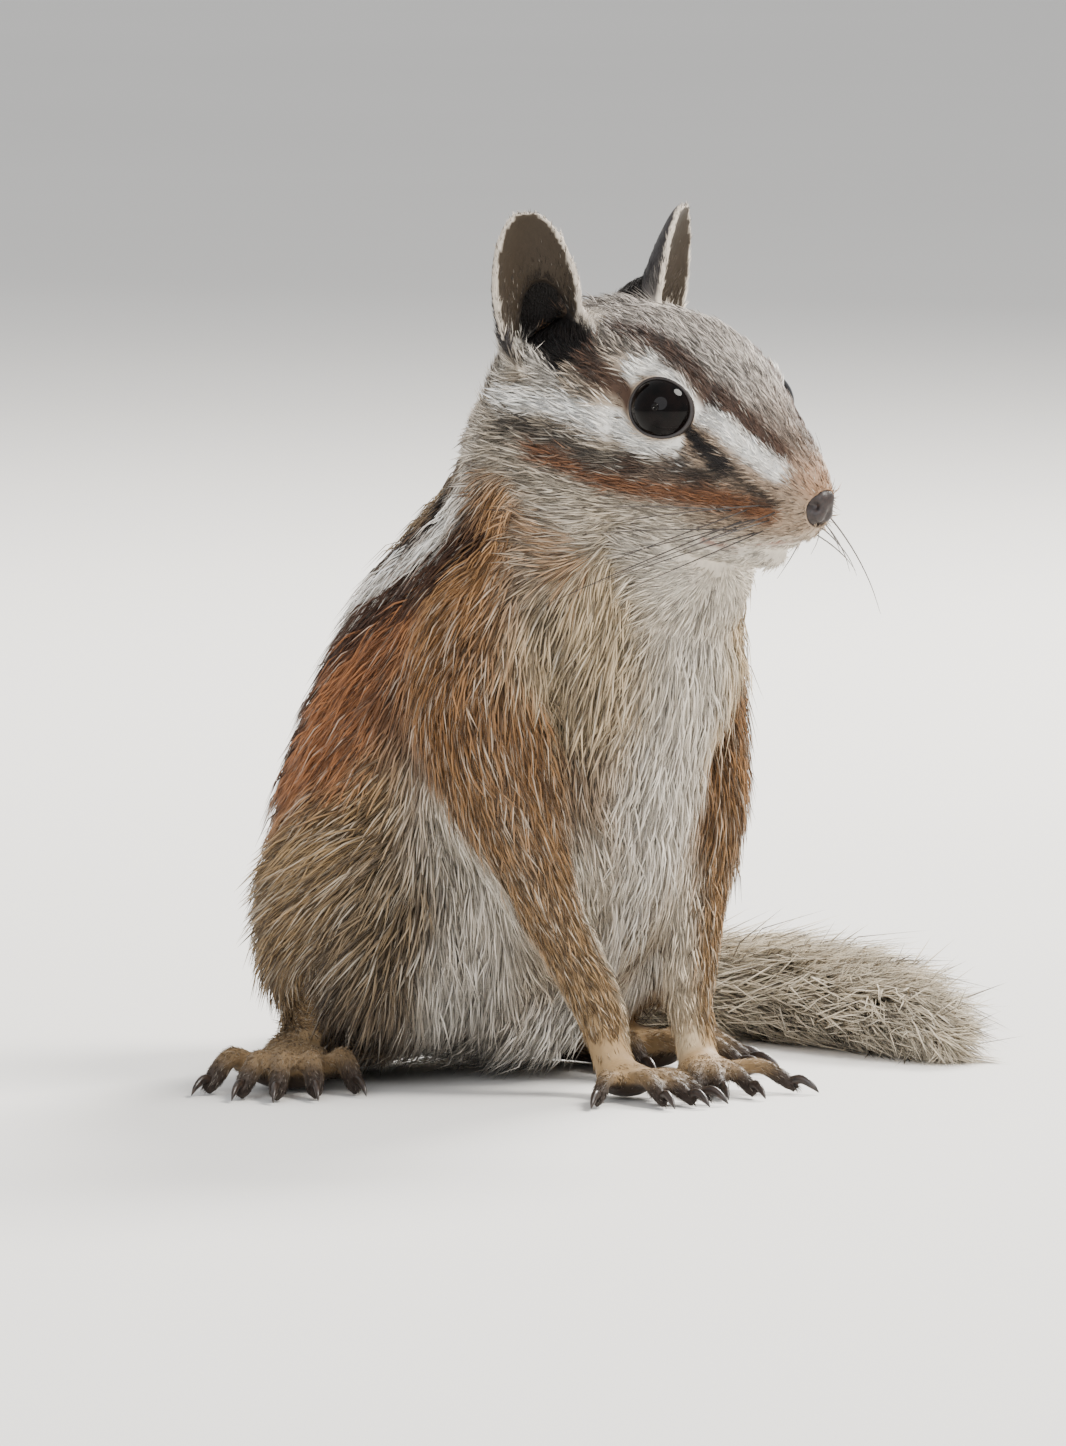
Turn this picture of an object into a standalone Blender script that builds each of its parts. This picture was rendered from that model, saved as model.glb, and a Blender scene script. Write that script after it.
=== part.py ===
"""A least chipmunk, life size, sitting up on its hind feet with both forefeet down.

The model is a still museum piece in separate solids. Blender works in metres; the sizes
below are in millimetres, because the animal is small, and MM turns them into metres.
The animal faces -Y, +Z is up, and its right side is towards -X. All four feet and the tail
rest on the floor at z = 0. The origin is the middle of the model's footprint, on the floor.
"""

import math
import random

import bmesh
import bpy
import numpy as np
from mathutils import Matrix, Vector
from mathutils.bvhtree import BVHTree

MM = 0.001
GAP = 0.3  # between touching solids
X_AXIS = Vector((1, 0, 0))
Y_AXIS = Vector((0, 1, 0))
Z_AXIS = Vector((0, 0, 1))
SIDES = {"right": -1, "left": 1}
CAP_ANGLES = (27, 53, 78)  # degrees, of the rings that round off an open end

# Torso and neck, from the rump to inside the head: back, height, half width, half depth
SPINE = (
    (18.0, 8.5, 6.5, 6.0),
    (13.0, 12.0, 13.0, 11.5),
    (6.0, 19.0, 17.3, 16.0),
    (1.5, 27.5, 17.3, 16.8),
    (-3.0, 36.0, 16.0, 16.5),
    (-8.0, 44.0, 13.6, 14.8),
    (-12.0, 51.0, 11.8, 12.6),
    (-15.5, 58.0, 12.0, 12.6),
    (-17.0, 62.5, 9.6, 8.8),
)
BELLY = ((0, 1.0, 15.5), (16.0, 15.0, 12.5))  # centre, radii
CHEST = ((0.6, -17.8, 41.5), (11.4, 11.0, 13.5))
THROAT = ((0.8, -22.5, 47.8), (9.0, 8.2, 8.5))
# Breast, between the forelegs: sideways, back, height, half width, half depth
BREAST = (
    (0.5, -18.5, 38.0, 8.5, 9.0),
    (0.3, -15.5, 29.0, 9.5, 9.5),
    (0.0, -11.5, 20.0, 10.5, 9.0),
    (0.0, -6.5, 12.0, 11.0, 7.5),
)
# Planes that part the neck from the torso and the head from the neck: point, normal
NECK_FOOT = ((0, -12.5, 50.0), (0, -0.5, 0.866))
NECK_TOP = ((0, -16.0, 59.3), (0, -0.77, 0.64))

# Head, in its own frame: s runs back from the nose tip, h is up, both along its tilted axis
NOSE_TIP = (0.8, -45.0, 55.0)
HEAD_PITCH = 12.0  # degrees, nose down
HEAD_YAW = 3.5  # degrees, towards the animal's left
# s, top, height of the widest point, bottom, half width
SKULL = (
    (0.9, 0.7, -1.4, -3.2, 1.7),
    (2.4, 2.2, -1.6, -4.8, 2.8),
    (4.5, 3.9, -1.7, -6.1, 3.9),
    (7.5, 5.9, -1.6, -7.0, 5.1),
    (10.5, 8.0, -1.2, -7.5, 6.3),
    (13.5, 9.6, -0.6, -7.9, 7.6),
    (16.5, 10.7, -0.2, -8.2, 8.8),
    (20.0, 11.3, -0.4, -8.7, 10.0),
    (24.0, 11.2, -0.6, -8.8, 10.6),
    (28.0, 10.4, -0.4, -8.3, 10.5),
    (32.0, 8.8, 0.0, -7.2, 10.0),
    (35.5, 6.8, 0.5, -5.2, 8.6),
)
SKULL_SQUARENESS = 2.25
SKULL_CAPS = (0.9, 3.5)  # how far its front and back are rounded off
# Lower jaw: s, height, half width, half height
JAW = (
    (6.4, -7.2, 2.0, 1.1),
    (8.8, -7.3, 3.2, 1.5),
    (12.5, -7.0, 4.7, 2.2),
    (19.0, -5.6, 6.4, 4.0),
)
EYE_CENTRE = (15.9, 6.1, 4.0)  # s, sideways, h
EYE_RADIUS = 3.1
EYE_FACES = (-0.40, 0.86, 0.22)  # s, sideways, h
BROW = ((16.4, 5.4, 4.6), (5.0, 2.8, 3.9))  # the swelling round the eye: centre, radii
LID_OPENING = (2.1, 2.75)  # how far before the eye's centre the flesh is open, and how widely
LID_SPREAD = (67.0, 60.0)  # degrees from the eye's axis to the lid, lengthwise and upwards
LID_RADIUS = 0.5
LID_POINTS = 16
MOUTH = ((3.0, 0.0, -5.1), (3.9, 1.5, -5.7), (5.8, 2.6, -6.5), (8.2, 3.6, -6.7), (10.4, 4.6, -6.2))
PHILTRUM = ((0.6, 0.0, -2.6), (1.7, 0.0, -3.9), (3.0, 0.0, -5.1))
LIP_RADIUS = 0.55
LIP_TAPER = 0.45  # of that, lost by the corner of the mouth
LIP_RISE = 0.5  # of each lip's middle, above or below the line of the mouth
MOUTH_GROOVE = 0.34
PHILTRUM_GROOVE = 0.27
NOSE_BACK = 2.0  # where the bare nose ends, on s
NOSTRIL = ((0.7, 1.15, -1.3), (0.7, 0.5, 0.62))  # place and radii: s, sideways, h

# Ears: root, the way it leans and the way its cup opens, each as s, sideways, h
EAR_ROOT = (28.8, 7.0, 2.2)
EAR_LENGTH = 16.8
EAR_LEAN = (0.23, 0.22, 1.0)
EAR_OPENS = (-0.9, 0.44, 0.0)
EAR_THICKNESS = 0.7
EAR_ROWS = 11  # along its length
EAR_COLUMNS = 9  # across its cup
# share of the length, half width, half the angle that the cup wraps round
EAR_SHAPE = (
    (0.0, 2.3, 118),
    (0.14, 2.9, 108),
    (0.3, 3.5, 92),
    (0.46, 3.9, 76),
    (0.62, 3.95, 64),
    (0.78, 3.4, 56),
    (0.92, 2.3, 48),
    (1.0, 0.9, 42),
)

# Forelegs: sideways, back, height, half width, half depth
FORELEG = {
    "right": (
        (9.8, -11.5, 44.0, 6.2, 7.5),
        (12.2, -13.2, 36.0, 6.3, 7.4),
        (12.2, -15.6, 28.5, 5.4, 6.0),
        (10.6, -17.3, 22.3, 4.0, 4.4),
        (9.2, -18.5, 17.5, 3.0, 3.3),
        (7.2, -19.7, 12.7, 2.5, 2.7),
        (5.4, -20.9, 8.3, 2.35, 2.4),
        (4.9, -21.6, 5.2, 2.1, 2.0),
    ),
    "left": (
        (9.8, -11.5, 44.0, 5.8, 7.5),
        (11.3, -13.0, 36.0, 5.7, 7.2),
        (11.8, -14.6, 27.5, 5.0, 5.8),
        (11.2, -15.6, 21.5, 4.1, 4.4),
        (9.6, -16.8, 16.5, 3.4, 3.4),
        (8.2, -18.2, 12.0, 2.7, 2.8),
        (7.1, -19.5, 7.8, 2.2, 2.3),
        (6.9, -20.3, 5.0, 2.0, 2.0),
    ),
}
FORELEG_ROOM = 1.0  # how far round that form the leg is parted from the torso
ELBOW_HEIGHT = 25.0
WRIST_HEIGHT = 6.6
FOREFOOT_HEADING = {"right": 9.0, "left": -26.0}  # degrees outwards from straight ahead
PALM = ((3.0, 1.9), (3.3, 2.5, 1.75))  # centre ahead of the wrist and height, radii
WRIST_END = (1.2, 2.1, 1.7)  # behind the palm's centre, half width, half depth
FINGERS = ((-19, 6.8), (-5, 7.8), (10, 7.6), (46, 6.0))  # degrees outwards, length
FINGER_ROOTS = (0.45, 1.3)  # shares of the palm's length and width at which they start
FINGER_RADII = (1.05, 0.9, 0.8)
FINGER_ARCH = 2.4
THUMB = ((-0.85, -0.6), (1.0, -0.5), (0.85, 0.7))  # start outwards and up, reach, radii
FORE_CLAW = 2.6
# A digit's middle places: share of its length, share of the height of its arch
DIGIT_JOINTS = ((0.45, 1.0), (0.8, 0.62))
DIGIT_TIP_HEIGHT = 0.93  # of its radius there, so that its pad is pressed flat
CLAW_ROOT = (0.3, 0.45)  # behind and above the middle of the digit's tip, as shares of its radius
CLAW_RADII = (0.52, 0.42, 0.25)
CLAW_TIP_HEIGHT = 0.35

THIGH = ((12.5, 2.5, 15.5), (8.6, 12.3, 13.0))
THIGH_ROOM = 0.8  # how far round that form the thigh is parted from the torso
SHANK = ((16.5, -3.0, 12.0, 4.5, 6.0), (13.5, 5.0, 8.5, 4.2, 5.0))  # then down to the heel
SHANK_END = (2.0, 5.2, 4.6, 4.2)  # before the heel, height, half width, half depth
HINDFOOT = {  # heel, heading in degrees outwards
    "right": ((8.2, 14.2, 3.0), 48.5),
    "left": ((11.0, 13.0, 3.0), 11.0),
}
HINDFOOT_SOLE = 19.5  # from the heel to the roots of the toes
# The sole: share of its length, height of its middle, half width, half height
SOLE = ((0.0, 3.0, 2.6, 2.7), (0.35, 2.7, 2.8, 2.5), (0.7, 2.3, 3.4, 2.2), (1.0, 1.9, 4.0, 1.8))
TOES = ((-34, 5.6), (-15, 8.4), (-1, 9.2), (13, 8.8), (32, 6.6))  # degrees outwards, length
TOE_SPREAD = 34.0  # the widest of those angles
TOE_ROOTS = (1.2, 2.4, 3.9, 2.2)  # the arc of their roots: ahead, its depth, half width, height
TOE_RADII = (1.3, 1.1, 0.95)
TOE_ARCH = 3.2
TOE_SPLAY = 0.8  # of the angles above
HIND_CLAW = 2.9

# Tail: sideways, back and height along its middle, then its half width and half height
TAIL = (
    (0.5, 15.5, 8.5, 4.0, 3.8),
    (3.0, 22.5, 6.6, 4.8, 4.0),
    (9.5, 28.5, 5.2, 6.2, 4.4),
    (19.0, 31.0, 4.5, 7.4, 4.7),
    (29.0, 28.5, 4.5, 8.2, 4.7),
    (37.0, 21.5, 4.5, 8.8, 4.7),
    (41.5, 11.5, 4.5, 9.2, 4.7),
    (42.5, 0.5, 4.4, 8.6, 4.6),
    (41.5, -9.5, 3.9, 6.4, 4.1),
    (39.8, -17.0, 2.7, 3.0, 2.8),
    (38.8, -21.0, 1.5, 1.2, 1.3),
)
TAIL_SPLITS = (0.34, 0.67)  # where the tail is parted, as shares of its length
TAIL_CORE = 0.42  # of the way out to the tips of the hair
TAIL_FADE = 0.12  # share of the length past its end over which the hair comes to a point
TAIL_POINT = 0.3  # of the last half width, which it keeps there
LOCK_FIRST = 0.03  # share of the tail's length where the locks begin
LOCK_LAST = 0.87  # where the last few locks start, which make the tail's end
LOCK_END_FAN = (0, 90, 180)  # their places, in degrees round the tail
LOCK_STEP = 0.108  # between one row of locks and the next, as a share of the tail's length
LOCK_REACH = 0.19  # how far back a lock lies, the same way
LOCK_ROWS = ((-30, 18, 66, 114, 162, 210), (-6, 42, 90, 138, 186))  # degrees round the tail
LOCK_SHAPE = ((0.0, 0.7), (0.4, 1.0), (0.75, 0.66), (1.0, 0.08))  # share of its length, of its width
LOCK_WIDTH = 0.66  # of the half width of the tail there
LOCK_NARROWEST = 5.0  # the half width that the narrowest locks are made for
LOCK_THICKNESS = (1.3, 0.5)  # at the root and at the tip
LOCK_ROOT = 0.25  # how deep the roots are, as a share of the way out to the tips
LOCK_BEND = 0.8  # under 1, a lock leaves the core steeply and then lies along the tail
LOCK_TURN = 6.0  # degrees by which its place varies
LOCK_SHIFT = 0.25  # of a row's step, by which its start varies
LOCK_VARIES = (0.85, 1.15)  # of its reach and its width
LOCK_TIPS = (0.88, 1.06)  # how far out its tip lies
LOCK_SEED = 7

# What is melted into one soft form: voxel size, smoothing steps, triangles
MELT = {
    "head": (0.42, 3, 2400),
    "whole": (0.62, 10, 2700),
    "forefoot": (0.28, 2, 540),
    "hindfoot": (0.32, 2, 640),
    "thigh_form": (0.9, 2, 260),
}

FUR_BROWN = (0.42, 0.22, 0.10, 1)
FUR_GREY = (0.55, 0.50, 0.44, 1)
FUR_TAN = (0.50, 0.36, 0.21, 1)
SKIN_DARK = (0.10, 0.075, 0.07, 1)
EYE_BLACK = (0.008, 0.006, 0.006, 1)
FUR_ROUGHNESS = 0.9
NOSE_ROUGHNESS = 0.45
EYE_ROUGHNESS = 0.05


def clear_scene():
    for old in list(bpy.data.objects):
        bpy.data.objects.remove(old, do_unlink=True)


def material(name, colour, roughness):
    made = bpy.data.materials.new(name)
    made.use_nodes = True
    shader = made.node_tree.nodes["Principled BSDF"]
    shader.inputs["Base Color"].default_value = colour
    shader.inputs["Roughness"].default_value = roughness
    shader.inputs["Metallic"].default_value = 0.0
    return made


def object_from(bm, name):
    mesh = bpy.data.meshes.new(name)
    bm.to_mesh(mesh)
    bm.free()
    obj = bpy.data.objects.new(name, mesh)
    bpy.context.scene.collection.objects.link(obj)
    return obj


def bake(obj):
    """Replaces an object's mesh by what its modifiers make of it."""
    bpy.context.view_layer.update()
    graph = bpy.context.evaluated_depsgraph_get()
    mesh = bpy.data.meshes.new_from_object(obj.evaluated_get(graph))
    obj.modifiers.clear()
    obj.data = mesh
    return obj


def copy_of(obj, name):
    made = obj.copy()
    made.data = obj.data.copy()
    made.name = name
    bpy.context.scene.collection.objects.link(made)
    return made


def smooth_row(rows, count):
    """Catmull-Rom through the rows, read at count evenly spaced places."""
    rows = np.asarray(rows, float)
    padded = np.vstack([2 * rows[0] - rows[1], rows, 2 * rows[-1] - rows[-2]])
    found = []
    for place in np.linspace(0, len(rows) - 1, count):
        i = min(int(place), len(rows) - 2)
        t = place - i
        a, b, c, d = padded[i : i + 4]
        bend, turn = 2 * a - 5 * b + 4 * c - d, 3 * b - a - 3 * c + d
        found.append(0.5 * (2 * b + (c - a) * t + bend * t**2 + turn * t**3))
    return np.array(found)


def skin_rings(rings, name, closed=False):
    """A mesh through rings of points. Its ends are closed by fans, or the last ring meets the first."""
    bm = bmesh.new()
    made = [[bm.verts.new(Vector(p) * MM) for p in ring] for ring in rings]
    count = len(rings[0])
    pairs = list(zip(made, made[1:]))
    if closed:
        pairs.append((made[-1], made[0]))
    for one, two in pairs:
        for i in range(count):
            j = (i + 1) % count
            bm.faces.new((one[i], one[j], two[j], two[i]))
    if not closed:
        for ring, points in ((made[0], rings[0]), (made[-1], rings[-1])):
            middle = bm.verts.new(Vector(np.mean(points, axis=0)) * MM)
            for i in range(count):
                bm.faces.new((ring[i], ring[(i + 1) % count], middle))
    bmesh.ops.recalc_face_normals(bm, faces=bm.faces)
    return object_from(bm, name)


def oval(centre, way, side, wide, deep, around):
    """A ring of points square to way, its width lying along side, or level if that is None."""
    across = Vector(side) - Vector(side).project(way) if side else way.cross(Z_AXIS)
    across.normalize()
    up = way.cross(across)
    angles = [2 * math.pi * k / around for k in range(around)]
    return [centre + across * (wide * math.cos(a)) + up * (deep * math.sin(a)) for a in angles]


def limb(name, rows, side=X_AXIS, steps=14, around=16):
    """A tapered, round-ended form along rows of (x, y, z, half width, half depth)."""
    row = smooth_row(rows, steps)
    points, widths, depths = row[:, :3], row[:, 3], row[:, 4]
    along = np.gradient(points, axis=0)
    rings = [
        oval(Vector(point), Vector(way).normalized(), side, wide, deep, around)
        for point, way, wide, deep in zip(points, along, widths, depths)
    ]

    def cap(end, sign):
        way = Vector(along[end]).normalized()
        reach = (widths[end] + depths[end]) / 2
        made = []
        for angle in map(math.radians, CAP_ANGLES):
            shrink = math.cos(angle)
            middle = Vector(points[end]) + way * (sign * reach * math.sin(angle))
            made.append(oval(middle, way, side, widths[end] * shrink, depths[end] * shrink, around))
        return made

    return skin_rings(cap(0, -1)[::-1] + rings + cap(-1, 1), name)


def tube(name, points, radii, steps=None, around=8):
    """A round, tapered tube through points."""
    rows = [(*p, r, r) for p, r in zip(points, radii)]
    way = Vector(points[-1]) - Vector(points[0])
    side = X_AXIS if abs(way.normalized().x) < 0.7 else Y_AXIS
    return limb(name, rows, side, steps or 2 * len(rows), around)


def loop_tube(name, points, radius, around=8):
    """A closed ring of tube through points that go once round."""
    points = [Vector(p) for p in points]
    count = len(points)
    middle = sum(points, Vector()) / count
    rings = []
    for i, point in enumerate(points):
        way = (points[(i + 1) % count] - points[i - 1]).normalized()
        rings.append(oval(point, way, point - middle, radius, radius, around))
    return skin_rings(rings, name, closed=True)


def ellipsoid(name, centre, radii, turn=Matrix.Identity(3), segments=24):
    bm = bmesh.new()
    bmesh.ops.create_uvsphere(bm, u_segments=segments, v_segments=segments // 2, radius=1)
    size = Matrix.Diagonal((*(Vector(radii) * MM), 1))
    place = Matrix.Translation(Vector(centre) * MM) @ turn.to_4x4() @ size
    bmesh.ops.transform(bm, matrix=place, verts=bm.verts)
    return object_from(bm, name)


def ball(name, centre, radius, fineness):
    bm = bmesh.new()
    bmesh.ops.create_icosphere(bm, subdivisions=fineness, radius=radius * MM)
    bmesh.ops.translate(bm, vec=Vector(centre) * MM, verts=bm.verts)
    return object_from(bm, name)


def beyond(name, point, normal, reach=160.0):
    """A block that fills the space on the side of a plane that its normal points to."""
    normal = Vector(normal).normalized()
    turn = normal.to_track_quat("Z", "Y").to_matrix()
    centre = Vector(point) + normal * (reach / 2)
    bm = bmesh.new()
    bmesh.ops.create_cube(bm, size=reach * MM)
    bmesh.ops.transform(bm, matrix=Matrix.Translation(centre * MM) @ turn.to_4x4(), verts=bm.verts)
    return object_from(bm, name)


def floor_block():
    return beyond("floor", (0, 0, 0), -Z_AXIS)


def fuse(name, pieces, melting):
    """Melts overlapping bodies into one soft form with about that many triangles."""
    voxel, smooth_steps, triangles = MELT[melting]
    bm = bmesh.new()
    for piece in pieces:
        bm.from_mesh(piece.data)
        bpy.data.objects.remove(piece, do_unlink=True)
    obj = object_from(bm, name)
    melt = obj.modifiers.new("melt", "REMESH")
    melt.mode = "VOXEL"
    melt.voxel_size = voxel * MM
    soften = obj.modifiers.new("soften", "SMOOTH")
    soften.factor = 0.5
    soften.iterations = smooth_steps
    bake(obj)
    keep_largest(obj)
    thin = obj.modifiers.new("thin", "DECIMATE")
    thin.ratio = min(1.0, triangles / len(obj.data.polygons))
    thin.use_collapse_triangulate = True
    return bake(obj)


def boolean(obj, others, operation="DIFFERENCE", solver="EXACT"):
    """Applies one Boolean with closed meshes, which it then removes."""
    group = bpy.data.collections.new("others")
    for other in others:
        group.objects.link(other)
    step = obj.modifiers.new("boolean", "BOOLEAN")
    step.operation = operation
    step.operand_type = "COLLECTION"
    step.collection = group
    step.solver = solver
    bake(obj)
    for other in others:
        bpy.data.objects.remove(other, do_unlink=True)
    bpy.data.collections.remove(group)
    keep_largest(obj)
    return obj


def keep_largest(obj):
    """Keeps only the largest closed surface of an object."""
    bm = bmesh.new()
    bm.from_mesh(obj.data)
    bmesh.ops.remove_doubles(bm, verts=bm.verts, dist=1e-7)
    bmesh.ops.triangulate(bm, faces=bm.faces)
    left, shells = set(bm.faces), []
    while left:
        shell, waiting = [], [left.pop()]
        while waiting:
            face = waiting.pop()
            shell.append(face)
            near = {f for edge in face.edges for f in edge.link_faces} & left
            left -= near
            waiting.extend(near)
        shells.append(shell)
    largest = max(shells, key=lambda shell: sum(tetrahedron(face) for face in shell))
    spare = [face for shell in shells if shell is not largest for face in shell]
    bmesh.ops.delete(bm, geom=spare, context="FACES")
    bm.to_mesh(obj.data)
    bm.free()


def tetrahedron(face):
    """Six times the volume between a triangle and the origin."""
    a, b, c = (v.co for v in face.verts)
    return a.dot(b.cross(c))


def grown(obj, name, by):
    """A copy whose surface lies a little outside the first."""
    made = copy_of(obj, name)
    push = made.modifiers.new("push", "DISPLACE")
    push.strength = by * MM
    push.mid_level = 0.0
    return bake(made)


def on_side(point, sign):
    """A point given for one side as (sideways, back, height), on the side that sign says."""
    return Vector((sign * point[0], point[1], point[2]))


def head_way(s, sideways, h):
    yaw = Matrix.Rotation(math.radians(HEAD_YAW), 3, "Z")
    pitch = Matrix.Rotation(math.radians(HEAD_PITCH), 3, "X")
    return yaw @ pitch @ Vector((sideways, s, h))


def head_point(s, sideways, h):
    """A point of the head's own frame, in the model's."""
    return Vector(NOSE_TIP) + head_way(s, sideways, h)


def head_axes():
    """Turns (sideways, back, up) of the head into the model's."""
    return Matrix((head_way(0, 1, 0), head_way(1, 0, 0), head_way(0, 0, 1))).transposed()


def superellipse(value):
    """A cosine or sine, moved outwards to make the skull's rings a little square."""
    return math.copysign(abs(value) ** (2 / SKULL_SQUARENESS), value)


def skull(name, steps=26, around=28):
    """The head's outer form: superellipse rings along its axis, the nose and the nape rounded off."""
    rows = smooth_row(SKULL, steps)

    def ring(s, top, widest, bottom, wide):
        points = []
        for k in range(around):
            angle = 2 * math.pi * k / around
            x, z = (superellipse(v) for v in (math.cos(angle), math.sin(angle)))
            reach = (top - widest) if z > 0 else (widest - bottom)
            points.append(head_point(s, x * wide, widest + z * reach))
        return points

    def cap(row, reach):
        s, top, widest, bottom, wide = row
        made = []
        for angle in map(math.radians, CAP_ANGLES):
            share = math.cos(angle)
            high = widest + (top - widest) * share
            low = widest + (bottom - widest) * share
            made.append(ring(s + reach * math.sin(angle), high, widest, low, wide * share))
        return made

    front, back = SKULL_CAPS
    rings = [ring(*row) for row in rows]
    return skin_rings(cap(rows[0], -front)[::-1] + rings + cap(rows[-1], back), name)


def head_line(points, sign=1, rise=0.0):
    return [head_point(s, sign * x, h + rise) for s, x, h in smooth_row(points, 3 * len(points))]


def skull_pieces(steps, around):
    rows = [(*head_point(s, 0, h), wide, deep) for s, h, wide, deep in JAW]
    pieces = [skull("skull", steps, around), limb("jaw", rows, head_way(0, 1, 0), steps=8)]
    for sign in SIDES.values():
        (s, x, h), (long, wide, high) = BROW
        pieces.append(ellipsoid("brow", head_point(s, sign * x, h), (wide, long, high), head_axes()))
    return pieces


def spine_form():
    return limb("spine", [(0, *row) for row in SPINE], steps=26, around=28)


def trunk_pieces():
    """The bodies that melt into torso, neck and upper limbs."""
    pieces = [spine_form()]
    for name, (centre, radii) in (("belly", BELLY), ("chest", CHEST), ("throat", THROAT)):
        pieces.append(ellipsoid(name, centre, radii))
    pieces.append(limb("breast", BREAST))
    for side in SIDES:
        pieces.append(foreleg_form(side, 0.0))
        pieces.append(thigh_form(side, 0.0))
    return pieces


def foreleg_form(side, more):
    rows = [(*on_side(row, SIDES[side]), row[3] + more, row[4] + more) for row in FORELEG[side]]
    return limb(f"foreleg_form_{side}", rows, steps=11, around=12)


def thigh_form(side, more):
    """Thigh and shank, down to the heel."""
    sign = SIDES[side]
    centre, radii = THIGH
    reach = Vector(radii) + Vector((more,) * 3)
    heel = HINDFOOT[side][0]
    before, height, wide, deep = SHANK_END
    rows = [*SHANK, (heel[0], heel[1] - before, height, wide, deep)]
    rows = [(*on_side(row, sign), row[3] + more, row[4] + more) for row in rows]
    pieces = [ellipsoid("thigh", on_side(centre, sign), reach), limb("shank", rows, steps=8)]
    return fuse(f"thigh_form_{side}", pieces, "thigh_form")


def limb_plane(side, height):
    """Where the foreleg passes that height, and the way that it runs there, downwards."""
    rows = smooth_row(FORELEG[side], 60)
    i = int(np.argmin(abs(rows[:, 2] - height)))
    here, way = rows[i, :3], rows[i + 1, :3] - rows[i - 1, :3]
    return on_side(here, SIDES[side]), on_side(way, SIDES[side]).normalized()


def heading(degrees, sign):
    """Level unit vectors ahead and outwards, for a foot turned outwards by that much."""
    turn = math.radians(degrees)
    ahead = Vector((sign * math.sin(turn), -math.cos(turn), 0))
    outwards = Vector((sign * math.cos(turn), math.sin(turn), 0))
    return ahead, outwards


def digit(name, root, ahead, length, radii, arch, claw):
    """A finger or toe that arches over its middle joint, with its claw."""
    big, middle, small = radii
    points = [root]
    for share, rise in (*DIGIT_JOINTS, (1.0, small * DIGIT_TIP_HEIGHT / arch)):
        points.append(root + ahead * (length * share) + Z_AXIS * (arch * rise - root.z))
    flesh = tube(name, points, (big, middle, middle, small))
    behind, above = CLAW_ROOT
    start = points[-1] + Z_AXIS * (small * above) - ahead * (small * behind)
    bend = start + ahead * (claw / 2 + small)
    end = start + ahead * (claw + small)
    end.z = CLAW_TIP_HEIGHT
    horn = tube(name + "_claw", (start, bend, end), CLAW_RADII, steps=5, around=6)
    return [flesh, horn]


def forefoot(side):
    sign = SIDES[side]
    ahead, outwards = heading(FOREFOOT_HEADING[side], sign)
    rows = [(*on_side(row, sign), row[3], row[4]) for row in FORELEG[side][-3:]]
    wrist = on_side(FORELEG[side][-1], sign)
    (forward, height), (long, wide, high) = PALM
    middle = Vector((wrist.x, wrist.y, 0)) + ahead * forward + Z_AXIS * height
    axes = Matrix((outwards, ahead, Z_AXIS)).transposed()
    behind, *wrist_end = WRIST_END
    pieces = [
        limb("wrist", rows + [(*(middle - ahead * behind), *wrist_end)], steps=8),
        ellipsoid("palm", middle, (wide, long, high), axes),
    ]
    root_ahead, root_aside = FINGER_ROOTS
    for number, (angle, length) in enumerate(FINGERS):
        turned, _ = heading(FOREFOOT_HEADING[side] + angle, sign)
        aside = math.sin(math.radians(angle)) * wide * root_aside
        root = middle + ahead * (long * root_ahead) + outwards * aside
        pieces += digit(f"finger_{number}", root, turned, length, FINGER_RADII, FINGER_ARCH, FORE_CLAW)
    (aside, up), (onwards, away), radii = THUMB
    thumb = middle + outwards * (wide * aside) + Z_AXIS * up
    pieces.append(tube("thumb", [thumb, thumb + ahead * onwards + outwards * away], radii, steps=3))
    return fuse(f"forefoot_{side}", pieces, "forefoot")


def hindfoot(side):
    sign = SIDES[side]
    heel, degrees = HINDFOOT[side]
    ahead, outwards = heading(degrees, sign)
    heel = on_side(heel, sign)
    rows = []
    for share, height, wide, high in SOLE:
        middle = Vector((heel.x, heel.y, height)) + ahead * (HINDFOOT_SOLE * share)
        rows.append((*middle, wide, high))
    pieces = [limb("sole", rows, outwards, steps=10)]
    front = Vector(rows[-1][:3])
    onwards, depth, half_width, height = TOE_ROOTS
    for number, (angle, length) in enumerate(TOES):
        turned, _ = heading(degrees + angle * TOE_SPLAY, sign)
        place = angle / TOE_SPREAD
        root = front + ahead * (onwards - depth * abs(place)) + outwards * (place * half_width)
        root.z = height
        pieces += digit(f"toe_{number}", root, turned, length, TOE_RADII, TOE_ARCH, HIND_CLAW)
    return fuse(f"hindfoot_{side}", pieces, "hindfoot")


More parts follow.
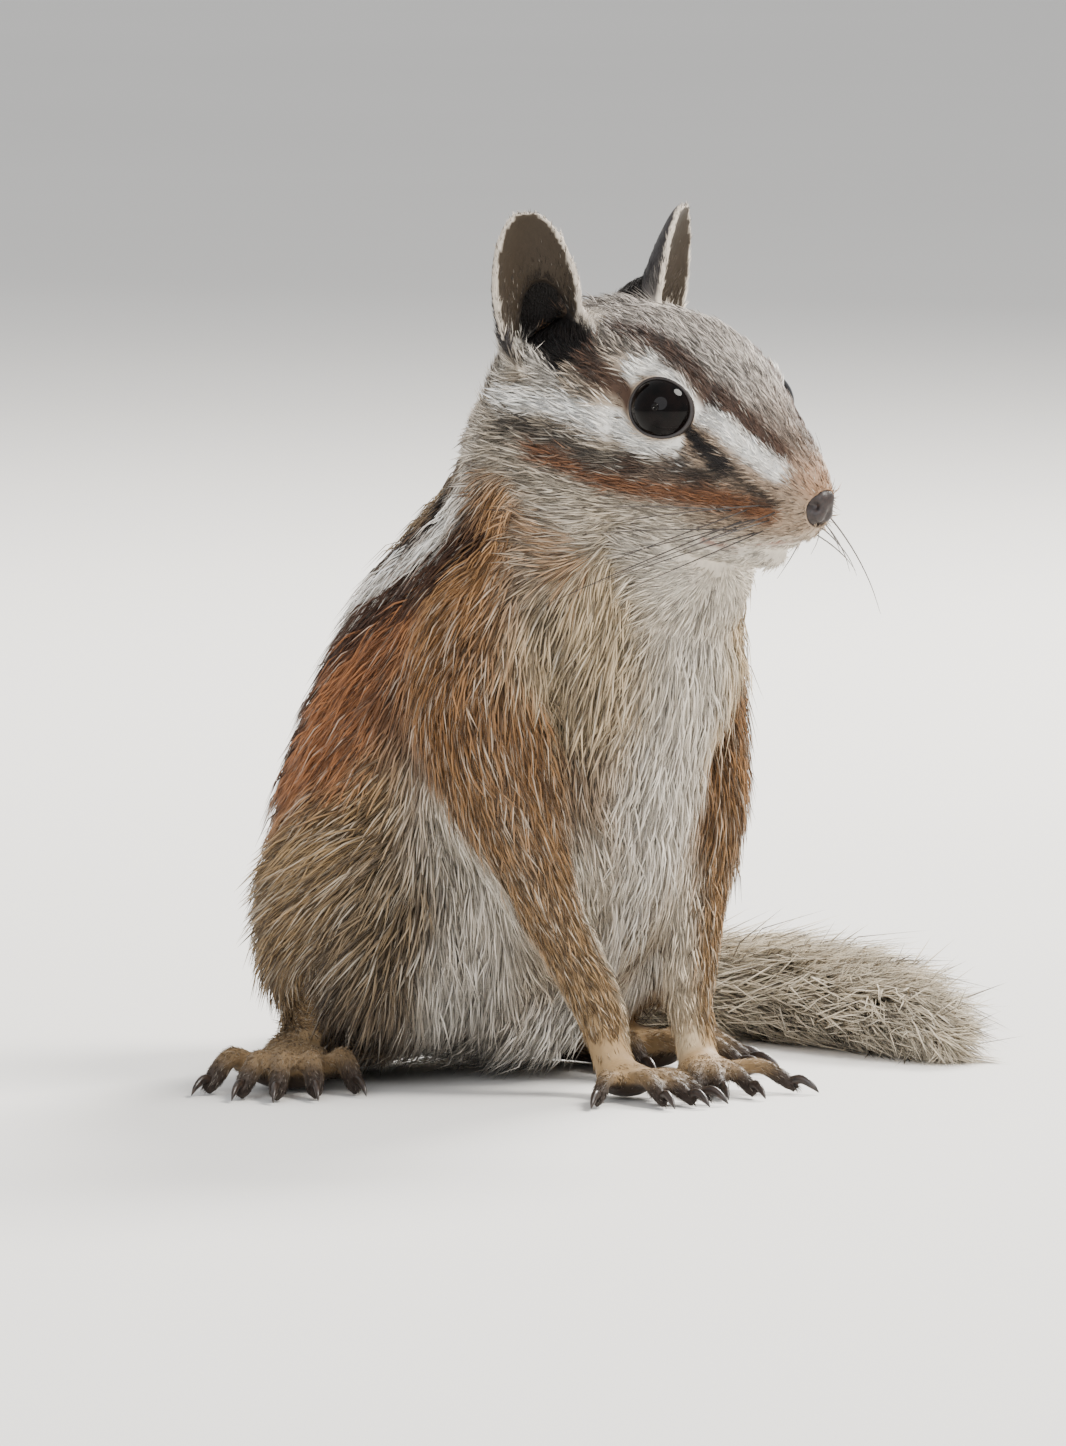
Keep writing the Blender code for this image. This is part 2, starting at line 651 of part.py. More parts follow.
def ear_shell(side):
    """A cup that tapers to a round tip, wrapped round an axis behind its opening."""
    sign = SIDES[side]
    up = head_way(EAR_LEAN[0], sign * EAR_LEAN[1], EAR_LEAN[2]).normalized()
    opens = head_way(EAR_OPENS[0], sign * EAR_OPENS[1], EAR_OPENS[2])
    opens = (opens - opens.project(up)).normalized()
    across = up.cross(opens) * sign
    root = head_point(EAR_ROOT[0], sign * EAR_ROOT[1], EAR_ROOT[2])
    bm = bmesh.new()
    sheet = []
    for share, half_width, wrap in smooth_row(EAR_SHAPE, EAR_ROWS):
        wrap = math.radians(wrap)
        radius = half_width / math.sin(min(wrap, math.pi / 2))
        line = []
        for k in range(EAR_COLUMNS):
            angle = wrap * (2 * k / (EAR_COLUMNS - 1) - 1)
            bow = radius * (math.cos(angle) - math.cos(wrap))
            point = root + up * (EAR_LENGTH * share) + across * (radius * math.sin(angle)) - opens * bow
            line.append(bm.verts.new(point * MM))
        sheet.append(line)
    for one, two in zip(sheet, sheet[1:]):
        for i in range(len(one) - 1):
            bm.faces.new((one[i], one[i + 1], two[i + 1], two[i]))
    ear = object_from(bm, f"ear_{side}")
    wall = ear.modifiers.new("wall", "SOLIDIFY")
    wall.thickness = EAR_THICKNESS * MM
    wall.offset = 0
    bake(ear)
    face_out(ear)
    return ear


def face_out(obj):
    bm = bmesh.new()
    bm.from_mesh(obj.data)
    bmesh.ops.recalc_face_normals(bm, faces=bm.faces)
    bm.to_mesh(obj.data)
    bm.free()


def eye_place(sign):
    """The middle of an eyeball and the way that it faces."""
    s, sideways, h = EYE_CENTRE
    ahead, aside, up = EYE_FACES
    return head_point(s, sign * sideways, h), head_way(ahead, sign * aside, up).normalized()


def lid_ring(sign):
    """The almond edge of the lids, on the eyeball's front."""
    centre, axis = eye_place(sign)
    length = head_way(1, 0, 0)
    length = (length - length.project(axis)).normalized()
    height = axis.cross(length)
    distance = EYE_RADIUS + GAP + LID_RADIUS
    lengthwise, upwards = map(math.radians, LID_SPREAD)
    points = []
    for k in range(LID_POINTS):
        angle = 2 * math.pi * k / LID_POINTS
        spread = lengthwise * math.cos(angle) ** 2 + upwards * math.sin(angle) ** 2
        aside = length * math.cos(angle) + height * math.sin(angle)
        points.append(centre + (axis * math.cos(spread) + aside * math.sin(spread)) * distance)
    return loop_tube("lid", points, LID_RADIUS, around=6)


def on_surface(obj, points):
    """Each point moved to the nearest place on an object's surface."""
    bm = bmesh.new()
    bm.from_mesh(obj.data)
    tree = BVHTree.FromBMesh(bm)
    found = [tree.find_nearest(Vector(p) * MM)[0] / MM for p in points]
    bm.free()
    return found


def make_head():
    """The head with its lips, lids, sockets, nostrils and mouth, and its ears, eyes and nose."""
    pieces = skull_pieces(26, 28)
    pieces += [spine_form(), ellipsoid("throat", *THROAT)]
    head = fuse("head", pieces, "head")
    clear = grown(head, "clear", GAP)
    ears = []
    for side in SIDES:
        ear = ear_shell(side)
        ears.append(boolean(ear, [copy_of(clear, "head_room")]))
    bpy.data.objects.remove(clear, do_unlink=True)

    cutters = [beyond("neck_side", plane_moved(NECK_TOP, GAP / 2), -Vector(NECK_TOP[1]))]
    grooves = []
    rims = []
    for sign in SIDES.values():
        line = on_surface(head, head_line(MOUTH, sign))
        grooves.append(tube("mouth", line, [MOUTH_GROOVE] * len(line), steps=10, around=5))
        for rise in (LIP_RISE, -LIP_RISE):
            line = on_surface(head, head_line(MOUTH, sign, rise))
            radii = np.linspace(LIP_RADIUS, LIP_RADIUS * (1 - LIP_TAPER), len(line))
            rims.append(tube("lip", line[1:], radii[1:], steps=7, around=5))
        rims.append(lid_ring(sign))
        centre, axis = eye_place(sign)
        cutters.append(ball("lid_opening", centre + axis * LID_OPENING[0], LID_OPENING[1], 2))
    line = on_surface(head, head_line(PHILTRUM))
    grooves.append(tube("philtrum", line, [PHILTRUM_GROOVE] * len(line), steps=5, around=5))
    boolean(head, cutters)
    boolean(head, rims, "UNION")
    sockets = []
    eyes = []
    for side, sign in SIDES.items():
        centre, _ = eye_place(sign)
        sockets.append(ball("socket", centre, EYE_RADIUS + GAP, 2))
        eyes.append(ball(f"eye_{side}", centre, EYE_RADIUS, 2))
    boolean(head, sockets + grooves)

    nose = copy_of(head, "nose")
    back = head_point(NOSE_BACK, 0, 0)
    way = head_way(1, 0, 0)
    boolean(nose, [beyond("behind_nose", back - way * (GAP / 2), way)])
    boolean(head, [beyond("before_head", back + way * (GAP / 2), -way)])
    nostrils = []
    (s, x, h), (long, wide, high) = NOSTRIL
    for sign in SIDES.values():
        place = head_point(s, sign * x, h)
        nostrils.append(ellipsoid("nostril", place, (wide, long, high), head_axes(), segments=10))
    boolean(nose, nostrils)
    return [head, nose, *ears, *eyes]


def plane_moved(plane, by):
    """A point of the plane after it has moved along its normal."""
    point, normal = plane
    return Vector(point) + Vector(normal).normalized() * by


def make_body(feet):
    """Torso, neck, thighs and forelegs, parted from one melted whole and cut clear of the feet."""
    whole = fuse("whole", trunk_pieces() + skull_pieces(20, 20), "whole")
    bodies = []
    neck = copy_of(whole, "neck")
    boolean(
        neck,
        [
            beyond("above_neck", plane_moved(NECK_TOP, -GAP / 2), NECK_TOP[1]),
            beyond("below_neck", plane_moved(NECK_FOOT, GAP / 2), -Vector(NECK_FOOT[1])),
        ],
    )
    bodies.append(neck)
    torso = copy_of(whole, "torso")
    cutters = [beyond("above_torso", plane_moved(NECK_FOOT, -GAP / 2), NECK_FOOT[1])]
    thighs = {side: thigh_form(side, THIGH_ROOM) for side in SIDES}
    for side in SIDES:
        cutters.append(foreleg_form(side, FORELEG_ROOM + GAP))
        cutters += [grown(form, "room", GAP) for form in (thighs[side], feet[side])]
    boolean(torso, cutters)
    bodies.append(torso)
    for side in SIDES:
        leg = copy_of(whole, f"foreleg_{side}")
        boolean(leg, [foreleg_form(side, FORELEG_ROOM)], "INTERSECT")
        elbow, down = limb_plane(side, ELBOW_HEIGHT)
        wrist, low = limb_plane(side, WRIST_HEIGHT)
        upper = copy_of(leg, f"upper_foreleg_{side}")
        boolean(
            upper,
            [
                beyond("above_leg", plane_moved(NECK_FOOT, -GAP / 2), NECK_FOOT[1]),
                beyond("below_elbow", elbow - down * (GAP / 2), down),
            ],
        )
        lower = copy_of(leg, f"forearm_{side}")
        above_elbow = beyond("above_elbow", elbow + down * (GAP / 2), -down)
        boolean(lower, [above_elbow, beyond("below_wrist", wrist, low)])
        bpy.data.objects.remove(leg, do_unlink=True)
        thigh = copy_of(whole, f"thigh_{side}")
        boolean(thigh, [thighs[side]], "INTERSECT")
        boolean(thigh, [grown(feet[side], "foot_room", GAP)])
        bodies += [upper, lower, thigh]
    return whole, bodies


class TailLine:
    """The tail's middle line, read by its share of the length."""

    def __init__(self):
        self.rows = smooth_row(TAIL, 240)
        steps = np.linalg.norm(np.diff(self.rows[:, :3], axis=0), axis=1)
        self.length = steps.sum()
        self.share = np.concatenate([[0], np.cumsum(steps)]) / self.length

    def at(self, share):
        """Middle, way, half width and half height there. Past the end the line runs straight on."""
        inside = min(max(share, 0.0), 1.0)
        past = max(share - 1.0, 0.0)
        x, y, z, wide, high = (np.interp(inside, self.share, column) for column in self.rows.T)
        i = min(max(int(np.searchsorted(self.share, inside)), 3), len(self.rows) - 4)
        way = Vector(self.rows[i + 3, :3] - self.rows[i - 3, :3]).normalized()
        fade = max(1 - past / TAIL_FADE, TAIL_POINT)
        return Vector((x, y, z)) + way * (past * self.length), way, wide * fade, high * fade

    def out_at(self, share, angle, out):
        """A point that far out towards the tips of the hair, at an angle round the tail."""
        middle, way, wide, high = self.at(share)
        side = way.cross(Z_AXIS).normalized()
        up = side.cross(way)
        return middle + side * (wide * out * math.cos(angle)) + up * (high * out * math.sin(angle))


def lock(line, share, angle, reach, width, out_end):
    """A flat, tapered lock that leaves the core, bends back and lies along the tail."""
    places = []
    for t, _ in LOCK_SHAPE:
        rise = math.sin(math.pi / 2 * t**LOCK_BEND)
        places.append((share + reach * t, LOCK_ROOT + (out_end - LOCK_ROOT) * rise))
    points = [line.out_at(place, angle, out) for place, out in places]
    rings = []
    for i, (point, (t, share_of_width)) in enumerate(zip(points, LOCK_SHAPE)):
        way = (points[min(i + 1, len(points) - 1)] - points[max(i - 1, 0)]).normalized()
        outwards = point - line.at(places[i][0])[0]
        outwards = (outwards - outwards.project(way)).normalized()
        aside = way.cross(outwards) * (width / 2 * share_of_width)
        thick = LOCK_THICKNESS[0] + (LOCK_THICKNESS[1] - LOCK_THICKNESS[0]) * t
        rings.append([point + aside, point + outwards * thick, point - aside])
    return skin_rings(rings, "lock")


def tail_locks(line):
    """Rows of overlapping locks from the rump to past the tail's end, varied as hair is."""
    draw = random.Random(LOCK_SEED)
    made = []
    rows = np.arange(LOCK_FIRST, LOCK_LAST, LOCK_STEP)
    for number, row in enumerate(rows):
        for degrees in LOCK_ROWS[number % 2]:
            angle = math.radians(degrees + draw.uniform(-LOCK_TURN, LOCK_TURN))
            start = row + LOCK_STEP * draw.uniform(-LOCK_SHIFT, LOCK_SHIFT)
            reach = LOCK_REACH * draw.uniform(*LOCK_VARIES)
            room = max(line.at(start + reach / 2)[2], LOCK_NARROWEST)
            width = LOCK_WIDTH * room * draw.uniform(*LOCK_VARIES)
            made.append(lock(line, start, angle, reach, width, draw.uniform(*LOCK_TIPS)))
    for degrees in LOCK_END_FAN:
        width = LOCK_WIDTH * LOCK_NARROWEST
        made.append(lock(line, LOCK_LAST, math.radians(degrees), LOCK_REACH, width, LOCK_TIPS[0]))
    return made


def make_tail(whole):
    """The tail in three lengths: a core under overlapping locks, its root cut clear of the rump."""
    line = TailLine()
    core_rows = [(*row[:3], row[3] * TAIL_CORE, row[4] * TAIL_CORE) for row in TAIL[:-1]]
    tail = limb("tail", core_rows, None, steps=24, around=8)
    boolean(tail, tail_locks(line), "UNION", "MANIFOLD")
    boolean(tail, [grown(whole, "rump_room", GAP), floor_block()])
    cuts = [line.at(share)[:2] for share in TAIL_SPLITS]
    lengths = []
    for number, name in enumerate(("tail_base", "tail_middle", "tail_tip")):
        cutters = []
        if number > 0:
            point, way = cuts[number - 1]
            cutters.append(beyond("before", point + way * (GAP / 2), -way))
        if number < len(cuts):
            point, way = cuts[number]
            cutters.append(beyond("after", point - way * (GAP / 2), way))
        lengths.append(boolean(copy_of(tail, name), cutters))
    bpy.data.objects.remove(tail, do_unlink=True)
    return lengths


def look_of(name):
    if "eye" in name:
        return "eye"
    if name == "nose":
        return "bare_skin"
    if name.startswith(("forearm", "forefoot", "hindfoot")):
        return "tan_fur"
    if name.startswith(("ear", "thigh", "tail", "head")):
        return "grey_fur"
    return "rusty_fur"


def centre_footprint(parts):
    """Moves everything so that the origin is the middle of its footprint."""
    corners = np.array([v.co for part in parts for v in part.data.vertices])
    middle = (corners.min(axis=0) + corners.max(axis=0)) / 2
    for part in parts:
        part.data.transform(Matrix.Translation((-middle[0], -middle[1], 0)))


def main():
    clear_scene()
    head_parts = make_head()
    forefeet = {}
    hindfeet = {}
    for side in SIDES:
        wrist, low = limb_plane(side, WRIST_HEIGHT)
        above_wrist = beyond("above_wrist", wrist + low * GAP, -low)
        forefeet[side] = boolean(forefoot(side), [floor_block(), above_wrist])
        hindfeet[side] = boolean(hindfoot(side), [floor_block()])
    whole, body_parts = make_body(hindfeet)
    tail = make_tail(whole)
    bpy.data.objects.remove(whole, do_unlink=True)

    parts = head_parts + body_parts + list(forefeet.values()) + list(hindfeet.values()) + tail
    centre_footprint(parts)
    looks = {
        "rusty_fur": material("rusty_fur", FUR_BROWN, FUR_ROUGHNESS),
        "grey_fur": material("grey_fur", FUR_GREY, FUR_ROUGHNESS),
        "tan_fur": material("tan_fur", FUR_TAN, FUR_ROUGHNESS),
        "bare_skin": material("bare_skin", SKIN_DARK, NOSE_ROUGHNESS),
        "eye": material("eye", EYE_BLACK, EYE_ROUGHNESS),
    }
    shown = bpy.data.collections.new("chipmunk")
    bpy.context.scene.collection.children.link(shown)
    for part in parts:
        bpy.context.scene.collection.objects.unlink(part)
        shown.objects.link(part)
        part.data.materials.clear()
        part.data.materials.append(looks[look_of(part.name)])
        part.data.shade_smooth()


main()
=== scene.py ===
"""A least chipmunk, life size, as a still museum model: its skin, its coat, eyes, claws and whiskers.

Lengths are in millimetres in the animal's own design frame: it faces -Y, +Z is up, its right
side is towards -X, and the floor is z = 0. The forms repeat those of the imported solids. What is
made from them is moved by SHIFT, which sets the right eye on its solid, and turned into metres.
"""

import math

import bmesh
import bpy
import numpy as np
from mathutils import Matrix, Vector
from mathutils.kdtree import KDTree


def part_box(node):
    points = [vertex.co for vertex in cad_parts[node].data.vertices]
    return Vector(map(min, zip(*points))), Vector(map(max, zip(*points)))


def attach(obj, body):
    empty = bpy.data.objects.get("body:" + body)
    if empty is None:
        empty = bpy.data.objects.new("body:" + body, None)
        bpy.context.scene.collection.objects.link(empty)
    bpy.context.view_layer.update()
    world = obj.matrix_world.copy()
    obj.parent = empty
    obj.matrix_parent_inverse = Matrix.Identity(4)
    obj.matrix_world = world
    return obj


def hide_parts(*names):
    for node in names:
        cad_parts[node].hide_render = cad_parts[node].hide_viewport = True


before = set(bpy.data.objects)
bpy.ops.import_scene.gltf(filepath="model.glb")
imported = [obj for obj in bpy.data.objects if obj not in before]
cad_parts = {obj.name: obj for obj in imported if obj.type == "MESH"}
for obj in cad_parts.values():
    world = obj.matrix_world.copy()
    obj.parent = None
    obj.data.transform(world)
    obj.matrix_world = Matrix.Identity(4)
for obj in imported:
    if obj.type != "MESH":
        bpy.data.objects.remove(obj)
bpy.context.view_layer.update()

MM = 0.001
X_AXIS = Vector((1, 0, 0))
Y_AXIS = Vector((0, 1, 0))
Z_AXIS = Vector((0, 0, 1))
SIDES = {"right": -1, "left": 1}
CAP_ANGLES = (15, 30, 45, 60, 75, 85)

# Torso and neck: back, height, half width, half depth
SPINE = (
    (18.0, 8.5, 6.5, 6.0),
    (13.0, 12.0, 13.0, 11.5),
    (6.0, 19.0, 17.3, 16.0),
    (1.5, 27.5, 17.3, 16.8),
    (-3.0, 36.0, 16.0, 16.5),
    (-8.0, 44.0, 13.6, 14.8),
    (-12.0, 51.0, 11.8, 12.6),
    (-15.5, 58.0, 12.0, 12.6),
    (-17.0, 62.5, 9.6, 8.8),
)
BELLY = ((0, 1.0, 15.5), (16.0, 15.0, 12.5))  # centre, radii
CHEST = ((0.6, -17.8, 41.5), (11.4, 11.0, 13.5))
THROAT = ((0.8, -22.5, 47.8), (9.0, 8.2, 8.5))
# Breast, between the forelegs: sideways, back, height, half width, half depth
BREAST = (
    (0.5, -18.5, 38.0, 8.5, 9.0),
    (0.3, -15.5, 29.0, 9.5, 9.5),
    (0.0, -11.5, 20.0, 10.5, 9.0),
    (0.0, -6.5, 12.0, 11.0, 7.5),
)

# Head, in its own frame: s runs back from the nose tip, h is up, both along its tilted axis
NOSE_TIP = (0.8, -45.0, 55.0)
NOSE_BARE = 1.6  # how far back the nose is bare, on s
NOSE_PAD = (-1.5, 1.75, 1.75)  # the bare nose: its middle's h, half width and half height
NOSE_SLIM = 0.2  # how much thinner its piece is than the skull's tip
HEAD_PITCH = 12.0
HEAD_YAW = 3.5
# s, top, height of the widest point, bottom, half width
SKULL = (
    (0.9, 0.7, -1.4, -3.2, 1.7),
    (2.4, 2.2, -1.6, -4.8, 2.8),
    (4.5, 3.9, -1.7, -6.1, 3.9),
    (7.5, 5.9, -1.6, -7.0, 5.1),
    (10.5, 8.0, -1.2, -7.5, 6.3),
    (13.5, 9.6, -0.6, -7.9, 7.6),
    (16.5, 10.7, -0.2, -8.2, 8.8),
    (20.0, 11.3, -0.4, -8.7, 10.0),
    (24.0, 11.2, -0.6, -8.8, 10.6),
    (28.0, 10.4, -0.4, -8.3, 10.5),
    (32.0, 8.8, 0.0, -7.2, 10.0),
    (35.5, 6.8, 0.5, -5.2, 8.6),
)
SKULL_SQUARENESS = 2.25
SKULL_CAPS = (0.9, 3.5)
JAW = (  # s, height, half width, half height
    (6.4, -7.2, 2.0, 1.1),
    (8.8, -7.3, 3.2, 1.5),
    (12.5, -7.0, 4.7, 2.2),
    (19.0, -5.6, 6.4, 4.0),
)
EYE_CENTRE = (15.9, 6.1, 4.0)
EYE_RADIUS = 3.1
EYE_FACES = (-0.40, 0.86, 0.22)
BROW = ((16.4, 5.4, 4.6), (5.0, 2.8, 3.9))
LID_SPREAD = (68.0, 56.0)  # degrees from the eye's axis to the lid, lengthwise and upwards
MOUTH = ((2.6, 0.0, -4.9), (3.4, 1.2, -5.2), (5.0, 2.3, -6.2), (7.5, 3.0, -7.0), (10.8, 4.2, -6.9))

EAR_ROOT = (28.8, 7.0, 2.2)
EAR_LENGTH = 16.8
EAR_LEAN = (0.23, 0.22, 1.0)
EAR_OPENS = (-0.9, 0.44, 0.0)
EAR_WALL = 0.95
EAR_SHAPE = (  # share of the length, half width, half the angle that the cup wraps round
    (0.0, 2.3, 118),
    (0.14, 2.9, 108),
    (0.3, 3.5, 92),
    (0.46, 3.9, 76),
    (0.62, 3.95, 64),
    (0.78, 3.4, 56),
    (0.92, 2.3, 48),
    (1.0, 0.9, 42),
)

FORELEG = {  # sideways, back, height, half width, half depth
    "right": (
        (9.8, -11.5, 44.0, 6.2, 7.5),
        (12.2, -13.2, 36.0, 6.3, 7.4),
        (12.2, -15.6, 28.5, 5.4, 6.0),
        (10.6, -17.3, 22.3, 4.0, 4.4),
        (9.2, -18.5, 17.5, 3.0, 3.3),
        (7.2, -19.7, 12.7, 2.5, 2.7),
        (5.4, -20.9, 8.3, 2.35, 2.4),
        (4.9, -21.6, 5.2, 2.1, 2.0),
    ),
    "left": (
        (9.8, -11.5, 44.0, 5.8, 7.5),
        (11.3, -13.0, 36.0, 5.7, 7.2),
        (11.8, -14.6, 27.5, 5.0, 5.8),
        (11.2, -15.6, 21.5, 4.1, 4.4),
        (9.6, -16.8, 16.5, 3.4, 3.4),
        (8.2, -18.2, 12.0, 2.7, 2.8),
        (7.1, -19.5, 7.8, 2.2, 2.3),
        (6.9, -20.3, 5.0, 2.0, 2.0),
    ),
}
FOREFOOT_HEADING = {"right": 9.0, "left": -26.0}  # degrees outwards from straight ahead
PALM = ((3.0, 1.9), (3.3, 2.5, 1.75))
WRIST_END = (1.2, 2.1, 1.7)
FINGERS = ((-19, 6.8), (-5, 7.8), (10, 7.6), (46, 6.0))
FINGER_ROOTS = (0.45, 1.3)
FINGER_RADII = (1.05, 0.9, 0.8)
FINGER_ARCH = 2.4
THUMB = ((-0.85, -0.6), (1.0, -0.5), (0.85, 0.7))
FORE_CLAW = 2.6
DIGIT_JOINTS = ((0.45, 1.0), (0.8, 0.62))
DIGIT_TIP_HEIGHT = 0.93
CLAW_ROOT = (0.3, 0.45)
CLAW_RADII = (0.46, 0.42, 0.3, 0.06)
CLAW_REACH = 0.8
CLAW_JOINTS = (0, 0.4, 0.78, 1)
CLAW_ARCH = 0.25
CLAW_TIP_HEIGHT = 0.28

THIGH = ((12.5, 2.5, 15.5), (8.6, 12.3, 13.0))
SHANK = ((16.5, -3.0, 12.0, 4.5, 6.0), (13.5, 5.0, 8.5, 4.2, 5.0))
SHANK_END = (2.0, 5.2, 4.6, 4.2)
HINDFOOT = {"right": ((8.2, 14.2, 3.0), 48.5), "left": ((11.0, 13.0, 3.0), 11.0)}
HINDFOOT_SOLE = 19.5
SOLE = ((0.0, 3.0, 2.6, 2.7), (0.35, 2.7, 2.8, 2.5), (0.7, 2.3, 3.4, 2.2), (1.0, 1.9, 4.0, 1.8))
TOES = ((-34, 5.6), (-15, 8.4), (-1, 9.2), (13, 8.8), (32, 6.6))
TOE_SPREAD = 34.0
TOE_ROOTS = (1.2, 2.4, 3.9, 2.2)
TOE_RADII = (1.3, 1.1, 0.95)
TOE_ARCH = 3.2
TOE_SPLAY = 0.8
HIND_CLAW = 2.9

TAIL = (  # sideways, back, height, half width, half height out to the tips of the hair
    (0.5, 15.5, 8.5, 4.0, 3.8),
    (3.0, 22.5, 6.6, 4.8, 4.0),
    (9.5, 28.5, 5.2, 6.2, 4.4),
    (19.0, 31.0, 4.5, 7.4, 4.7),
    (29.0, 28.5, 4.5, 8.2, 4.7),
    (37.0, 21.5, 4.5, 8.8, 4.7),
    (41.5, 11.5, 4.5, 9.2, 4.7),
    (42.5, 0.5, 4.4, 8.6, 4.6),
    (41.5, -9.5, 3.9, 6.4, 4.1),
    (39.8, -17.0, 2.7, 3.0, 2.8),
    (38.8, -21.0, 1.5, 1.2, 1.3),
)
TAIL_FLESH = 0.36  # of the way out to the tips of the hair

SKIN_VOXEL = 0.42
NOSE_SINK = 1.1  # how far the skin lies behind the front of the bare nose
SKIN_SHARE = 0.62  # of its faces that stay, the rest being dropped from the trunk
DRAW = np.random.default_rng(11)


# Shapes

def smooth_row(rows, count):
    """Catmull-Rom through the rows, read at count evenly spaced places."""
    rows = np.asarray(rows, float)
    padded = np.vstack([2 * rows[0] - rows[1], rows, 2 * rows[-1] - rows[-2]])
    found = []
    for place in np.linspace(0, len(rows) - 1, count):
        i = min(int(place), len(rows) - 2)
        t = place - i
        a, b, c, d = padded[i : i + 4]
        bend, turn = 2 * a - 5 * b + 4 * c - d, 3 * b - a - 3 * c + d
        found.append(0.5 * (2 * b + (c - a) * t + bend * t**2 + turn * t**3))
    return np.array(found)


def loft(rings, closed=False):
    """Points and faces of a mesh through rings of points, its ends closed by fans."""
    points = [tuple(p) for ring in rings for p in ring]
    count, faces = len(rings[0]), []
    for r in range(len(rings) if closed else len(rings) - 1):
        one, two = r * count, ((r + 1) % len(rings)) * count
        for i in range(count):
            j = (i + 1) % count
            faces.append((one + i, one + j, two + j, two + i))
    if not closed:
        for first in (0, (len(rings) - 1) * count):
            points.append(tuple(np.mean(points[first : first + count], axis=0)))
            fan = [(first + i, first + (i + 1) % count, len(points) - 1) for i in range(count)]
            faces += fan
    return points, faces


def oval(centre, way, side, wide, deep, around):
    across = Vector(side) - Vector(side).project(way) if side else way.cross(Z_AXIS)
    across.normalize()
    up = way.cross(across)
    angles = [2 * math.pi * k / around for k in range(around)]
    return [centre + across * (wide * math.cos(a)) + up * (deep * math.sin(a)) for a in angles]


def limb(rows, side=X_AXIS, steps=40, around=36):
    """A tapered, round-ended form along rows of (x, y, z, half width, half depth)."""
    row = smooth_row(rows, steps)
    points, widths, depths = row[:, :3], row[:, 3], row[:, 4]
    along = np.gradient(points, axis=0)
    rings = [
        oval(Vector(point), Vector(way).normalized(), side, wide, deep, around)
        for point, way, wide, deep in zip(points, along, widths, depths)
    ]

    def cap(end, sign):
        way = Vector(along[end]).normalized()
        reach = (widths[end] + depths[end]) / 2
        made = []
        for angle in map(math.radians, CAP_ANGLES):
            shrink = math.cos(angle)
            middle = Vector(points[end]) + way * (sign * reach * math.sin(angle))
            made.append(oval(middle, way, side, widths[end] * shrink, depths[end] * shrink, around))
        return made

    return loft(cap(0, -1)[::-1] + rings + cap(-1, 1))


def tube(points, radii, steps=None, around=16):
    rows = [(*p, r, r) for p, r in zip(points, radii)]
    way = Vector(points[-1]) - Vector(points[0])
    side = X_AXIS if abs(way.normalized().x) < 0.7 else Y_AXIS
    return limb(rows, side, steps or 4 * len(rows), around)


def ellipsoid(centre, radii, turn=Matrix.Identity(3), around=48):
    rings = []
    for k in range(1, around // 2):
        angle = math.pi * k / (around // 2)
        level = math.sin(angle)
        ring = []
        for i in range(around):
            turned = 2 * math.pi * i / around
            place = Vector((level * math.cos(turned), level * math.sin(turned), math.cos(angle)))
            ring.append(Vector(centre) + turn @ Vector(a * b for a, b in zip(place, radii)))
        rings.append(ring)
    return loft(rings)


def joined(shapes):
    """Several (points, faces) as one."""
    points, faces = [], []
    for more, polygons in shapes:
        first = len(points)
        points += more
        faces += [tuple(first + i for i in polygon) for polygon in polygons]
    return points, faces


def on_side(point, sign):
    return Vector((sign * point[0], point[1], point[2]))


def side_rows(rows, sign):
    return [tuple(on_side(row, sign)) for row in rows]


def limb_rows(rows, sign):
    """Rows of a limb, places with their half width and half depth, on that side."""
    return [(*on_side(row, sign), row[3], row[4]) for row in rows]


def head_turn():
    yaw = Matrix.Rotation(math.radians(HEAD_YAW), 3, "Z")
    return yaw @ Matrix.Rotation(math.radians(HEAD_PITCH), 3, "X")


def head_way(s, sideways, h):
    return head_turn() @ Vector((sideways, s, h))


def head_point(s, sideways, h):
    """A point of the head's own frame, in the model's."""
    return Vector(NOSE_TIP) + head_way(s, sideways, h)


def in_head(points):
    """Points of the model in the head's frame: s, distance sideways, h."""
    turn = np.array(head_turn())
    local = (points - np.array(NOSE_TIP)) @ turn
    return np.stack([local[:, 1], local[:, 0], local[:, 2]], axis=1)


def beside_nose(local):
    """How far from the bare nose points of the head's frame lie: 0 in its middle, 1 at its edge."""
    height, half, high = NOSE_PAD
    behind = np.maximum(local[:, 0] - NOSE_BARE, 0)
    return np.hypot(local[:, 1] / half, (local[:, 2] - height) / high) + behind


def superellipse(value):
    return math.copysign(abs(value) ** (2 / SKULL_SQUARENESS), value)


def skull_ring(s, top, widest, bottom, wide, around=64):
    points = []
    for k in range(around):
        angle = 2 * math.pi * k / around
        x, z = (superellipse(v) for v in (math.cos(angle), math.sin(angle)))
        reach = (top - widest) if z > 0 else (widest - bottom)
        points.append(head_point(s, x * wide, widest + z * reach))
    return points


def skull(last=None):
    """The head's outer form, or only as far back as last."""
    rows = smooth_row(SKULL, 120)
    if last is not None:
        rows = rows[rows[:, 0] <= last]

    def cap(row, reach):
        s, top, widest, bottom, wide = row
        made = []
        for angle in map(math.radians, CAP_ANGLES):
            share = math.cos(angle)
            high = widest + (top - widest) * share
            low = widest + (bottom - widest) * share
            made.append(skull_ring(s + reach * math.sin(angle), high, widest, low, wide * share))
        return made

    front, back = SKULL_CAPS
    rings = cap(rows[0], -front)[::-1] + [skull_ring(*row) for row in rows]
    return loft(rings + (cap(rows[-1], back) if last is None else []))


def heading(degrees, sign):
    turn = math.radians(degrees)
    ahead = Vector((sign * math.sin(turn), -math.cos(turn), 0))
    outwards = Vector((sign * math.cos(turn), math.sin(turn), 0))
    return ahead, outwards


